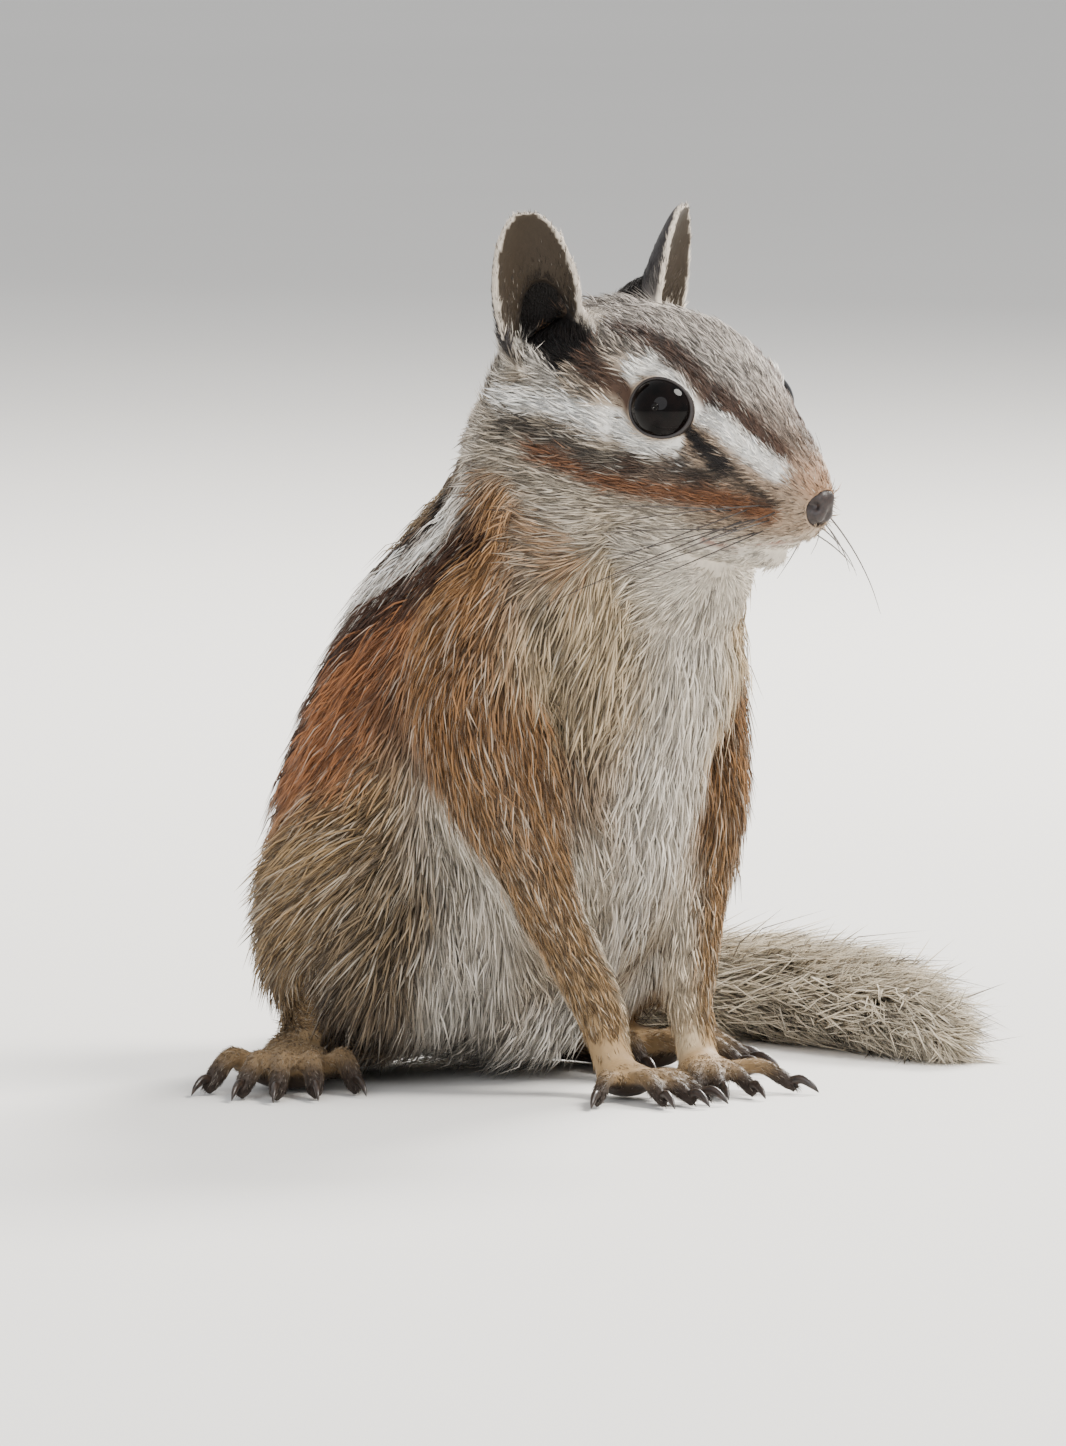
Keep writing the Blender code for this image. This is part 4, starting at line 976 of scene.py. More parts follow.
def drop_small(obj):
    """Keeps only the largest connected surface."""
    edges = edges_of(obj.data)
    label = np.arange(len(obj.data.vertices))
    while True:
        lower = np.minimum(label[edges[:, 0]], label[edges[:, 1]])
        new = label.copy()
        np.minimum.at(new, edges[:, 0], lower)
        np.minimum.at(new, edges[:, 1], lower)
        new = new[new]
        if np.array_equal(new, label):
            break
        label = new
    main = np.bincount(label).argmax()
    if (label != main).any():
        bm = bmesh.new()
        bm.from_mesh(obj.data)
        bm.verts.ensure_lookup_table()
        bmesh.ops.delete(bm, geom=[bm.verts[i] for i in np.flatnonzero(label != main)], context="VERTS")
        bm.to_mesh(obj.data)
        bm.free()


def refine(obj, chosen):
    """Cuts each edge between chosen points in two."""
    bm = bmesh.new()
    bm.from_mesh(obj.data)
    edges = [edge for edge in bm.edges if chosen[edge.verts[0].index] and chosen[edge.verts[1].index]]
    bmesh.ops.subdivide_edges(bm, edges=edges, cuts=1, use_grid_fill=True)
    bmesh.ops.triangulate(bm, faces=[face for face in bm.faces if len(face.verts) > 4])
    bm.to_mesh(obj.data)
    bm.free()


HEAD, TRUNK, LIMB, FOOT, EAR, TAIL_PART = range(6)
HEAD_CUT = ((0, -16.0, 59.3), (0, -0.77, 0.64))  # a place on the plane between head and neck, and its way
EAR_STARTS = 5.0  # along its axis; from EAR_FREE on, it is clear of the head
EAR_FREE = 9.0
EAR_SUNK = 2.5  # how far below the skull's top its fur may start
EAR_REACH = 6.5
EAR_ASIDE = 3.5
LEG_TOP = 34.0
LEG_COAT = 1.2
FOREFOOT_PART = (6.0, -16.5)  # below this height, and before this place
HINDFOOT_PART = (5.0, 9.0, 36.0)  # below this height, and from here to here ahead of the heel
HINDFOOT_WIDTH = (3.6, 14.0, 9.0)  # half width, where it starts to widen, most half width
TAIL_START = 18  # of 200 steps along the tail
TAIL_REACH = 4.6


def parts_of(points):
    """Which part of the animal each point belongs to."""
    local = in_head(points)
    part = np.full(len(points), TRUNK)
    place, way = map(np.array, HEAD_CUT)
    part[(points - place) @ way > 0] = HEAD
    skull_places, skull_tops, *_ = zip(*SKULL)
    skull_top = np.interp(local[:, 0], skull_places, skull_tops)
    for side, sign in SIDES.items():
        root, up, _, _ = ear_axes(sign)
        relative = points - np.array(root)
        rise = relative @ np.array(up)
        apart = np.linalg.norm(relative - rise[:, None] * np.array(up), axis=1)
        clear = (local[:, 2] > skull_top - EAR_SUNK) | (rise > EAR_FREE)
        part[(rise > EAR_STARTS) & (apart < EAR_REACH) & (np.abs(local[:, 1]) > EAR_ASIDE) & clear] = EAR
        rows = smooth_row(FORELEG[side], 40)
        rows[:, 0] *= sign
        near = np.full(len(points), np.inf)
        for row in rows:
            if row[2] < LEG_TOP:
                near = np.minimum(near, np.linalg.norm(points - row[:3], axis=1) - max(row[3], row[4]))
        part[(near < LEG_COAT) & (part == TRUNK)] = LIMB
    top, front = FOREFOOT_PART
    part[(points[:, 2] < top) & (points[:, 1] < front)] = FOOT
    top, first, last = HINDFOOT_PART
    narrow, widens, widest = HINDFOOT_WIDTH
    for side, sign in SIDES.items():
        heel, degrees = HINDFOOT[side]
        ahead, outwards = heading(degrees, sign)
        relative = points - np.array(on_side(heel, sign))
        forward, sideways = relative @ np.array(ahead), np.abs(relative @ np.array(outwards))
        along = (forward > first) & (forward < last) & (points[:, 2] < top)
        part[along & (sideways < widest) & (sideways < narrow + np.maximum(forward - widens, 0))] = FOOT
    line = smooth_row([row[:3] for row in TAIL], 200)
    near = np.full(len(points), np.inf)
    for place in line[TAIL_START:]:
        near = np.minimum(near, np.linalg.norm(points - place, axis=1))
    part[near < TAIL_REACH] = TAIL_PART
    return part


def eye_place(sign):
    s, sideways, h = EYE_CENTRE
    ahead, out, up = EYE_FACES
    return head_point(s, sign * sideways, h), head_way(ahead, sign * out, up).normalized()


def lid_angle(points, sign):
    """How far outside the lids' edge each point lies as seen from the eye's middle, in degrees."""
    centre, axis = (np.array(v) for v in eye_place(sign))
    length = np.array(head_way(1, 0, 0))
    length -= length @ axis * axis
    length /= np.linalg.norm(length)
    height = np.cross(axis, length)
    relative = points - centre
    reach = np.linalg.norm(relative, axis=1)
    way = relative / reach[:, None]
    turned = np.arctan2(way @ height, way @ length)
    edge = LID_SPREAD[0] * np.cos(turned) ** 2 + LID_SPREAD[1] * np.sin(turned) ** 2
    return np.degrees(np.arccos(np.clip(way @ axis, -1, 1))) - edge, way, reach


EYE_SOCKET = 0.62  # how far from the eye's middle its socket lies, in its radii
LID_THICKNESS = 0.22
LID_BLEND = (38, 45)  # degrees from the lids' edge over which they blend into the face


def open_eyes(points):
    """Sinks the skin behind each eyeball, and wraps the lids over its edge."""
    for sign in SIDES.values():
        past, way, reach = lid_angle(points, sign)
        near = reach < EYE_RADIUS + 3.0
        inside = near & (past < 0)
        points[inside] -= way[inside] * (reach[inside] - EYE_SOCKET * EYE_RADIUS)[:, None]
        lid = near & (past >= 0) & (past < LID_BLEND[1])
        edge = EYE_RADIUS + LID_THICKNESS
        wanted = edge + (np.maximum(reach, edge) - edge) * eased(past / LID_BLEND[0])
        points[lid] += way[lid] * (wanted - reach)[lid][:, None]


def hollow_ears(points, ways):
    """Sinks a hollow into the side of the head, low in each ear's cup."""
    middle, aside, high, half = EAR_HOLLOW
    for sign in SIDES.values():
        rise, wide, out = ear_place(points, sign)
        _, _, opens, _ = ear_axes(sign)
        inside = 1 - ((rise - middle) / high) ** 2 - ((wide - aside) / half) ** 2
        facing = (ways @ np.array(opens) > 0.05) & (out > -3.5) & (out < 5)
        inwards = np.array(head_way(EAR_HOLLOW_WAY[0], sign * EAR_HOLLOW_WAY[1], EAR_HOLLOW_WAY[2]))
        sink = np.where(facing & (inside > 0), np.sqrt(np.maximum(inside, 0)), 0) * EAR_HOLLOW_DEPTH
        points += sink[:, None] * inwards


def groove(points, ways, line, width, depth):
    near = distance_to([tuple(head_point(*place)) for place in smooth_row(line, 24)], points)
    points -= ways * (depth * np.exp(-((near / width) ** 2)))[:, None]


SKIN_FLOOR = 0.02  # the least height of the skin
FINE_FACE = (22, 40)  # finer mesh before this place of the head, and above this height
EYE_FRAME = (1.2, -9, 14)  # finer again round the eye: reach past it, and degrees from the lids' edge
MOUTH_FRAME = 0.6
COAT_DEPTH = 0.85  # of the tufts' own height
UNDERSIDE = 0.8  # how much less deep it is underneath
EAR_DEPTH = 0.08
FOOT_DEPTH = 0.15
MOUTH_CUT = (0.3, 0.45)  # half width and depth of the line of the mouth


def thin_trunk(skin):
    """Fewer faces on the trunk, where the coat hides the skin."""
    trunk = skin.vertex_groups.new(name="trunk")
    chosen = np.flatnonzero(parts_of(read_points(skin.data)) == TRUNK)
    trunk.add([int(i) for i in chosen], 1.0, "REPLACE")
    thin = skin.modifiers.new("thin", "DECIMATE")
    thin.ratio = SKIN_SHARE
    thin.vertex_group = trunk.name
    applied(skin)
    skin.vertex_groups.clear()


def refine_face(skin):
    points = read_points(skin.data)
    refine(skin, (in_head(points)[:, 0] < FINE_FACE[0]) & (points[:, 2] > FINE_FACE[1]))
    points = read_points(skin.data)
    close = np.zeros(len(points), bool)
    more, inner, outer = EYE_FRAME
    for sign in SIDES.values():
        past, _, reach = lid_angle(points, sign)
        close |= (reach < EYE_RADIUS + more) & (past < outer) & (past > inner)
        close |= distance_to(head_rows(MOUTH, sign), points) < MOUTH_FRAME
    refine(skin, close)


def coat_depth(points, ways, edges, part, guides):
    """How far below the coat's outer surface the skin lies."""
    _, values = guides.read(points)
    depth = COAT_DEPTH * values[:, 0] * np.sin(np.radians(values[:, 1]))
    depth *= 1 + UNDERSIDE * np.minimum(ways[:, 2], 0)
    depth[part == TAIL_PART] = 0
    depth[part == EAR] = EAR_DEPTH
    depth[part == FOOT] = np.minimum(depth[part == FOOT], FOOT_DEPTH)
    for _ in range(12):
        depth = neighbours_mean(depth, edges)
    return depth


def make_skin():
    """The skin, the coat's outer surface over each of its points, their parts, and the guides."""
    skin = mesh_object("skin", *joined(body_shapes()))
    melt(skin, SKIN_VOXEL)
    drop_small(skin)
    thin_trunk(skin)
    refine_face(skin)
    mesh = skin.data
    edges = edges_of(mesh)
    points = read_points(mesh)
    part = parts_of(points)
    points = softened(points, edges, 0.5, 3)
    points = softened(points, edges, np.where(part == TRUNK, 0.5, 0.0), 24)
    points[:, 2] = np.maximum(points[:, 2], SKIN_FLOOR)
    outer = points.copy()
    write_points(mesh, points)
    ways = read_points(mesh, "normal")
    guides = make_guides()
    points = points - ways * coat_depth(outer, ways, edges, part, guides)[:, None]
    points = softened(points, edges, np.where((part == TRUNK) | (part == HEAD), 0.5, 0.2), 3)
    points[:, 2] = np.maximum(points[:, 2], SKIN_FLOOR)
    tip = eased((1.1 - beside_nose(in_head(outer))) / 0.25)
    points += tip[:, None] * NOSE_SINK * np.array(head_way(1, 0, 0))
    hollow_ears(points, ways)
    open_eyes(points)
    for sign in SIDES.values():
        groove(points, ways, [(s, sign * x, h) for s, x, h in MOUTH], *MOUTH_CUT)
    write_points(mesh, points)
    bm = bmesh.new()
    bm.from_mesh(mesh)
    bmesh.ops.triangulate(bm, faces=bm.faces)
    bmesh.ops.recalc_face_normals(bm, faces=bm.faces)
    bm.to_mesh(mesh)
    bm.free()
    return skin, outer, part, guides


def unwrap(obj):
    """The skin's own unwrap, in a UV map named OFBake."""
    mesh = obj.data
    mesh.uv_layers.new(name="OFBake")
    bpy.context.view_layer.objects.active = obj
    obj.select_set(True)
    bpy.ops.object.mode_set(mode="EDIT")
    bpy.ops.mesh.select_all(action="SELECT")
    bpy.ops.uv.smart_project(angle_limit=math.radians(66), island_margin=0.002)
    bpy.ops.object.mode_set(mode="OBJECT")
    obj.select_set(False)


# Coat

LIPS = 0.32  # half width of the bare line of the mouth
SOLES = (0.9, 0.35)  # bare below these heights: what faces down, and all


class Ground:
    """The skin as arrays, for setting tufts on it."""

    def __init__(self, skin, outer, part, guides):
        mesh = skin.data
        self.points = read_points(mesh)
        self.normals = read_points(mesh, "normal")
        self.outer, self.part = outer, part
        self.triangles = np.empty(3 * len(mesh.polygons), dtype=np.int32)
        mesh.polygons.foreach_get("vertices", self.triangles)
        self.triangles = self.triangles.reshape(-1, 3)
        uv = np.empty(2 * len(mesh.loops))
        mesh.uv_layers["OFBake"].data.foreach_get("uv", uv)
        self.uv = uv.reshape(-1, 3, 2)
        corners = self.points[self.triangles]
        one, two = corners[:, 1] - corners[:, 0], corners[:, 2] - corners[:, 0]
        self.areas = np.linalg.norm(np.cross(one, two), axis=1) / 2
        self.ways, self.values = guides.read(outer)
        self.base = self.values[:, 4:]
        self.colours = markings_and_shade(outer, self.base, part)
        self.values = self.values[:, :4].copy()
        self.bare()

    def bare(self):
        """No tufts in the eyes, on the nose, in the mouth, or where the feet press on the floor."""
        density = self.values[:, 3]
        local = in_head(self.outer)
        density[beside_nose(local) < 1] = 0
        for sign in SIDES.values():
            past, _, reach = lid_angle(self.points, sign)
            density[(past < 1.5) & (reach < EYE_RADIUS + 2)] = 0
            density[distance_to(head_rows(MOUTH, sign), self.outer) < LIPS] = 0
        pressed, touching = SOLES
        under = (self.points[:, 2] < pressed) & (self.normals[:, 2] < -0.2) & (self.part != TAIL_PART)
        density[under | (self.points[:, 2] < touching)] = 0


def unit(vectors):
    return vectors / np.maximum(np.linalg.norm(vectors, axis=1, keepdims=True), 1e-9)


def scatter(ground, part, density_share):
    """Roots spread evenly by the coat's density over one part: triangle and share of each corner."""
    tri = ground.triangles
    chosen = (ground.part[tri] == part).sum(axis=1) >= 2
    density = ground.values[:, 3][tri].mean(axis=1)
    empty = (ground.values[:, 3][tri] == 0).any(axis=1)
    amount = np.where(chosen & ~empty, ground.areas * density * density_share, 0)
    total = np.cumsum(amount)
    wanted = np.arange(0, total[-1], 1.0) + DRAW.random(int(math.ceil(total[-1])))
    found = np.searchsorted(total, wanted[wanted < total[-1]])
    one, two = np.sqrt(DRAW.random(len(found))), DRAW.random(len(found))
    shares = np.stack([1 - one, one * (1 - two), one * two], axis=1)
    return found, shares


def mesh_from(name, points, triangles):
    mesh = bpy.data.meshes.new(name)
    mesh.vertices.add(len(points))
    mesh.vertices.foreach_set("co", points.ravel())
    mesh.loops.add(3 * len(triangles))
    mesh.loops.foreach_set("vertex_index", triangles.ravel())
    mesh.polygons.add(len(triangles))
    mesh.polygons.foreach_set("loop_start", np.arange(0, 3 * len(triangles), 3))
    mesh.update(calc_edges=True)
    mesh.shade_smooth()
    obj = bpy.data.objects.new(name, mesh)
    bpy.context.scene.collection.objects.link(obj)
    return obj


PATCH = 0.003  # across a tuft's place on the unwrap
STRAIGHT = ((0.0, 1.0), (1.0, 0.0))  # rows of a tuft: share of its length, share of its width
BENT = ((0.0, 0.8), (0.5, 1.0), (1.0, 0.0))
MOST_TRIANGLES = 190000  # in one piece
ROOT_DEPTH = 0.1  # below the skin
TUFT_RIDGE = 0.8  # how high a tuft's ridge stands, in its half widths
TUFT_BEND = (1.4, 0.8)  # its lift at the root, and how much of that it loses to the tip
GATHERED = 0.4  # how far tips lean towards their leader
COAT_FLOOR = 0.06


class Layer:
    """One kind of tuft over one part: how many, how long, wide and lifted beside the guides' values."""

    def __init__(self, part, rows, amount, clump, length=1.0, width=1.0, lift=1.0, spread=0.16, mottle=0.3):
        self.part, self.rows, self.amount, self.clump = part, rows, amount, clump
        self.length, self.width, self.lift, self.spread, self.mottle = length, width, lift, spread, mottle


def clumps(root, share):
    """Leaders that tufts gather round, and which of them each tuft is nearest to."""
    leading = DRAW.random(len(root)) < share
    leading[0] = True
    leaders = root[leading]
    tree = KDTree(len(leaders))
    for k, place in enumerate(leaders):
        tree.insert(place, k)
    tree.balance()
    return leaders, np.array([tree.find(p)[1] for p in root])


def comb(root, normal, way, values, leaders, nearest, layer):
    """The points of every tuft, from root to tip. Those with one leader lean together."""
    count, total = len(root), len(leaders)

    def varied(value, together, least, most):
        return value * (1 + DRAW.normal(0, together, total)[nearest]) * DRAW.uniform(least, most, count)

    side = np.cross(normal, way)
    lean = DRAW.normal(0, layer.spread, total)[nearest] + DRAW.normal(0, layer.spread * 0.7, count)
    way = unit(way + side * lean[:, None])
    side = np.cross(normal, way)
    length = varied(values[:, 0] * layer.length, 0.1, 0.75, 1.15)
    width = values[:, 2] * layer.width * DRAW.uniform(0.8, 1.2, count)
    lift = varied(np.radians(values[:, 1]) * layer.lift, 0.14, 0.75, 1.25)
    gather = leaders[nearest] - root
    gather -= (gather * normal).sum(axis=1)[:, None] * normal
    points = []
    for t, wide in layer.rows:
        turn = lift * (TUFT_BEND[0] - TUFT_BEND[1] * t)
        rise = length * t
        middle = root - normal * ROOT_DEPTH + way * (rise * np.cos(turn))[:, None]
        middle = middle + normal * (rise * np.sin(turn))[:, None]
        middle = middle + gather * (GATHERED * t**1.5)
        half = (width * wide / 2)[:, None]
        if wide:
            points += [middle - side * half, middle + side * half, middle + normal * (half * TUFT_RIDGE)]
        else:
            points.append(middle)
    return np.stack(points, axis=1)


def tuft_faces(rows):
    """Triangles of one tuft: rings of three points, then its tip."""
    faces = [(0, 2, 1)]
    for one in range(0, 3 * (rows - 2), 3):
        two = one + 3
        for k in range(3):
            j = (k + 1) % 3
            faces += [(one + k, one + j, two + j), (one + k, two + j, two + k)]
    last = 3 * (rows - 2)
    return np.array(faces + [(last + k, last + (k + 1) % 3, last + 3) for k in range(3)])


def grow(name, ground, layer):
    """Tufts that follow the coat's lie, as one or more pieces."""
    found, shares = scatter(ground, layer.part, layer.amount)
    corner = ground.triangles[found]

    def at(values):
        return (values[corner] * shares[:, :, None]).sum(axis=1)

    root, outer, normal = at(ground.points), at(ground.outer), unit(at(ground.normals))
    way, values = at(ground.ways), at(ground.values)
    jitter = DRAW.normal(0, layer.mottle, (len(root), 3))
    colour = markings_and_shade(outer + jitter, at(ground.base), np.full(len(root), layer.part))
    uv = (ground.uv[found] * shares[:, :, None]).sum(axis=1)
    way = unit(way - (way * normal).sum(axis=1)[:, None] * normal)
    leaders, nearest = clumps(root, layer.clump / np.maximum(values[:, 3] * layer.amount, 1))
    points = comb(root, normal, way, values, leaders, nearest, layer)
    if layer.part == HEAD:
        keep = clear_of_eyes(points)
        points, colour, uv, nearest = points[keep], colour[keep], uv[keep], nearest[keep]
    points[:, :, 2] = np.maximum(points[:, :, 2], COAT_FLOOR)
    strand = np.array([(u, t) for t, wide in layer.rows for u in ((0.0, 1.0, 0.5) if wide else (0.5,))])
    shades = tuft_shades(colour, strand[:, 1], DRAW.normal(1, 0.07, len(leaders))[nearest])
    place = uv[:, None, :] + (strand[None] - 0.5) * PATCH
    along = np.broadcast_to(strand[None], place.shape)
    faces = tuft_faces(len(layer.rows))
    most = MOST_TRIANGLES // len(faces)
    pieces = []
    for number, first in enumerate(range(0, len(points), most)):
        some = slice(first, min(first + most, len(points)))
        tufts = np.arange(some.stop - some.start)[:, None, None]
        triangles = (faces[None] + len(strand) * tufts).reshape(-1, 3)
        coat = mesh_from(f"{name}_{number + 1}", points[some].reshape(-1, 3), triangles)
        paint = coat.data.color_attributes.new(name="coat", type="FLOAT_COLOR", domain="POINT")
        paint.data.foreach_set("color", shades[some].ravel())
        for label, where in (("OFBake", place), ("strand", along)):
            uv_map = coat.data.uv_layers.new(name=label)
            uv_map.data.foreach_set("uv", where[some].reshape(-1, 2)[triangles.ravel()].ravel())
        pieces.append(coat)
    return pieces


DARK_TIPS = 0.36  # the share of dark tips where the coat is fully grizzled
PALE_TIPS = 0.22


def tuft_shades(colour, tones, brightness):
    """Dusky at the root, and at the tip as the region has it, where grizzled some dark and some pale."""
    count = len(colour)
    fur, grizzle = colour[:, :3], np.clip(colour[:, 3], 0, 1)
    fur = fur * (brightness * DRAW.uniform(0.82, 1.16, count))[:, None]
    tip = fur * 1.12
    pick = DRAW.random(count)
    dark = pick < DARK_TIPS * grizzle
    pale = (pick > 1 - PALE_TIPS * grizzle) & ~dark
    tip[dark] = tip[dark] * 0.15 + np.array(DARK[:3]) * 0.6
    tip[pale] = tip[pale] * 0.5 + np.array(CREAM[:3]) * 0.5
    base = fur * 0.6 + np.array(SLATE[:3]) * 0.05
    base[dark] *= 0.7
    mix = eased((tones - 0.1) / 0.7)[None, :, None]
    shades = np.clip(base[:, None] * (1 - mix) + tip[:, None] * mix, 0, 1)
    return np.concatenate([shades, np.ones((*shades.shape[:2], 1))], axis=2)


def clear_of_eyes(points):
    """Which tufts stay clear of the eyes."""
    fine = np.ones(len(points), bool)
    for sign in SIDES.values():
        for k in range(points.shape[1]):
            past, _, reach = lid_angle(points[:, k], sign)
            fine &= ~((past < -1) & (reach < EYE_RADIUS + 1.5) & (reach > 0.5 * EYE_RADIUS))
    return fine


# Bare pieces

def make_eye(side):
    sign = SIDES[side]
    centre, axis = eye_place(sign)
    turn = axis.to_track_quat("Z", "Y").to_matrix()
    points, faces = ellipsoid(centre, (EYE_RADIUS, EYE_RADIUS, EYE_RADIUS), turn, around=96)
    return mesh_object(f"eyeball_{side}", points, faces)


def ring_tube(points, radii, around=10):
    points = [Vector(p) for p in points]
    count = len(points)
    middle = sum(points, Vector()) / count
    rings = []
    for i, point in enumerate(points):
        way = (points[(i + 1) % count] - points[i - 1]).normalized()
        rings.append(oval(point, way, point - middle, radii[i], radii[i], around))
    return loft(rings, closed=True)


def make_lids(side):
    """The dark bare edge of the lids, round an almond, a little drawn out at its front corner."""
    sign = SIDES[side]
    centre, axis = eye_place(sign)
    length = head_way(1, 0, 0)
    length = (length - length.project(axis)).normalized()
    height = axis.cross(length)
    points, radii = [], []
    for k in range(72):
        angle = 2 * math.pi * k / 72
        lengthwise, upwards = map(math.radians, LID_SPREAD)
        spread = lengthwise * math.cos(angle) ** 2 + upwards * math.sin(angle) ** 2
        out = length * math.cos(angle) + height * math.sin(angle)
        points.append(centre + (axis * math.cos(spread) + out * math.sin(spread)) * (EYE_RADIUS + 0.02))
        radii.append(0.17 + 0.12 * max(0.0, -math.cos(angle)) ** 3)
    return mesh_object(f"lids_{side}", *ring_tube(points, radii))


def make_claws():
    shapes = []
    behind, above = CLAW_ROOT
    for side in SIDES:
        for line, turned, (_, _, small), claw in digits_of(side):
            start = line[-1] + Z_AXIS * (small * above) - turned * (small * behind)
            way = turned * (claw * CLAW_REACH + small)
            path = [start + way * share for share in CLAW_JOINTS]
            path[1].z += CLAW_ARCH
            path[2].z = max(start.z * 0.75, 0.5)
            path[3].z = CLAW_TIP_HEIGHT
            rows = [(*p, wide * 0.8, wide) for p, wide in zip(path, CLAW_RADII)]
            shapes.append(limb(rows, turned.cross(Z_AXIS), steps=12, around=12))
    return mesh_object("claws", *joined(shapes))


# Dents of the nose: how deep; their middle's s, x and h, and how wide along each
NOSTRILS = (
    (0.55, (0.6, 1.25, -1.25), (0.75, 0.5, 0.55)),
    (0.5, (1.5, 2.0, -1.0), (0.9, 0.45, 0.35)),
)
PHILTRUM = (0.22, 0.28)  # depth and half width of the groove down the middle


def make_nose():
    """The bare nose: the skull's own tip, with a groove and comma-shaped nostrils."""
    nose = mesh_object("nose_pad", *skull(last=NOSE_BARE + 0.8))
    melt(nose, 0.11)
    mesh = nose.data
    points = softened(read_points(mesh), edges_of(mesh), 0.5, 6)
    local = in_head(points)
    across, up = np.array(head_way(0, 1, 0)), np.array(head_way(0, 0, 1))
    points -= NOSE_SLIM * (local[:, 1, None] * across + (local[:, 2, None] - NOSE_PAD[0]) * up)
    write_points(mesh, points)
    ways = read_points(mesh, "normal")
    local = in_head(points)
    local[:, 1] = np.abs(local[:, 1])
    deep, wide = PHILTRUM
    dent = deep * np.exp(-((local[:, 1] / wide) ** 2)) * eased((-local[:, 2] - 0.8) / 1.2)
    for deep, middle, widths in NOSTRILS:
        dent += deep * np.exp(-(((local - middle) / widths) ** 2).sum(axis=1))
    write_points(mesh, points - ways * dent[:, None])
    return nose


WHISKER_ROOTS = (
    (3.4, 3.1, -2.2), (4.0, 3.4, -3.2), (4.6, 3.9, -2.0), (5.2, 4.0, -3.4), (5.8, 4.4, -2.6),
    (6.4, 4.6, -3.9), (4.4, 3.4, -4.2), (5.4, 3.9, -4.8), (6.6, 4.7, -4.8), (7.4, 5.0, -3.2),
)
WHISKER_LENGTHS = (11, 19)
WHISKER_RADII = (0.075, 0.065, 0.055, 0.04, 0.015)


def make_whiskers():
    shapes = []
    for sign in SIDES.values():
        for s, x, h in WHISKER_ROOTS:
            root = head_point(s, sign * (x - 0.4), h)
            back = DRAW.uniform(-0.25, 0.75) + 0.12 * (s - 4)
            up = DRAW.uniform(-0.75, 0.35)
            way = head_way(back, sign, up).normalized()
            droop = head_way(0.55, 0, -0.35 + DRAW.uniform(-0.2, 0.2))
            reach = DRAW.uniform(*WHISKER_LENGTHS)
            path = []
            for t in (0, 0.25, 0.5, 0.75, 1):
                path.append(root + way * (reach * t) + droop * (reach * 0.35 * t * t))
            shapes.append(tube(path, WHISKER_RADII, steps=14, around=6))
    return mesh_object("whiskers", *joined(shapes))


# Materials

def new_material(name):
    made = bpy.data.materials.new(name)
    made.use_nodes = True
    return made, made.node_tree.nodes, made.node_tree.links, made.node_tree.nodes["Principled BSDF"]


def fur_material(name, darker=1.0, strand=True):
    made, nodes, links, shader = new_material(name)
    paint = nodes.new("ShaderNodeAttribute")
    paint.attribute_name = "coat"
    streak = nodes.new("ShaderNodeTexNoise")
    streak.inputs["Detail"].default_value = 3.0
    place = nodes.new("ShaderNodeMapping")
    if strand:
        source = nodes.new("ShaderNodeUVMap")
        source.uv_map = "strand"
        links.new(source.outputs["UV"], place.inputs["Vector"])
        place.inputs["Scale"].default_value = (5.0, 0.8, 1.0)
        streak.inputs["Scale"].default_value = 2.0
    else:
        source = nodes.new("ShaderNodeTexCoord")
        links.new(source.outputs["Object"], place.inputs["Vector"])
        place.inputs["Scale"].default_value = (1.0, 1.0, 0.3)
        streak.inputs["Scale"].default_value = 3200.0
    links.new(place.outputs["Vector"], streak.inputs["Vector"])
    tone = nodes.new("ShaderNodeMapRange")
    tone.inputs["To Min"].default_value = 0.78 * darker
    tone.inputs["To Max"].default_value = 1.18 * darker
    links.new(streak.outputs["Fac"], tone.inputs["Value"])
    mix = nodes.new("ShaderNodeVectorMath")
    mix.operation = "SCALE"
    links.new(paint.outputs["Color"], mix.inputs[0])
    links.new(tone.outputs["Result"], mix.inputs["Scale"])
    links.new(mix.outputs["Vector"], shader.inputs["Base Color"])
    bump = nodes.new("ShaderNodeBump")
    bump.inputs["Strength"].default_value = 0.35
    bump.inputs["Distance"].default_value = 0.00008
    links.new(streak.outputs["Fac"], bump.inputs["Height"])
    links.new(bump.outputs["Normal"], shader.inputs["Normal"])
    shader.inputs["Roughness"].default_value = 0.6
    shader.inputs["Specular IOR Level"].default_value = 0.22
    shader.inputs["Sheen Weight"].default_value = 0.05
    shader.inputs["Sheen Roughness"].default_value = 0.4
    return made


def plain_material(name, one, two, scale, roughness, bump_height):
    """Two colours mixed by noise, with a fine bump."""
    made, nodes, links, shader = new_material(name)
    source = nodes.new("ShaderNodeTexCoord")
    noise = nodes.new("ShaderNodeTexNoise")
    noise.inputs["Scale"].default_value = scale
    noise.inputs["Detail"].default_value = 4.0
    links.new(source.outputs["Object"], noise.inputs["Vector"])
    ramp = nodes.new("ShaderNodeValToRGB")
    ramp.color_ramp.elements[0].position = 0.35
    ramp.color_ramp.elements[1].position = 0.65
    ramp.color_ramp.elements[0].color = (*one, 1)
    ramp.color_ramp.elements[1].color = (*two, 1)
    links.new(noise.outputs["Fac"], ramp.inputs["Fac"])
    links.new(ramp.outputs["Color"], shader.inputs["Base Color"])
    bump = nodes.new("ShaderNodeBump")
    bump.inputs["Strength"].default_value = 0.5
    bump.inputs["Distance"].default_value = bump_height
    links.new(noise.outputs["Fac"], bump.inputs["Height"])
    links.new(bump.outputs["Normal"], shader.inputs["Normal"])
    shader.inputs["Roughness"].default_value = roughness
    return made


# Putting it together

eye_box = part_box("eye_right")
EYE_MIDDLE = (eye_box[0] + eye_box[1]) / 2
SHIFT = EYE_MIDDLE / MM - eye_place(SIDES["right"])[0]
SHIFT.z = 0.0
INTO_WORLD = Matrix.Scale(MM, 4) @ Matrix.Translation(SHIFT)

FLESH = [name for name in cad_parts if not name.startswith(("eye", "nose"))]


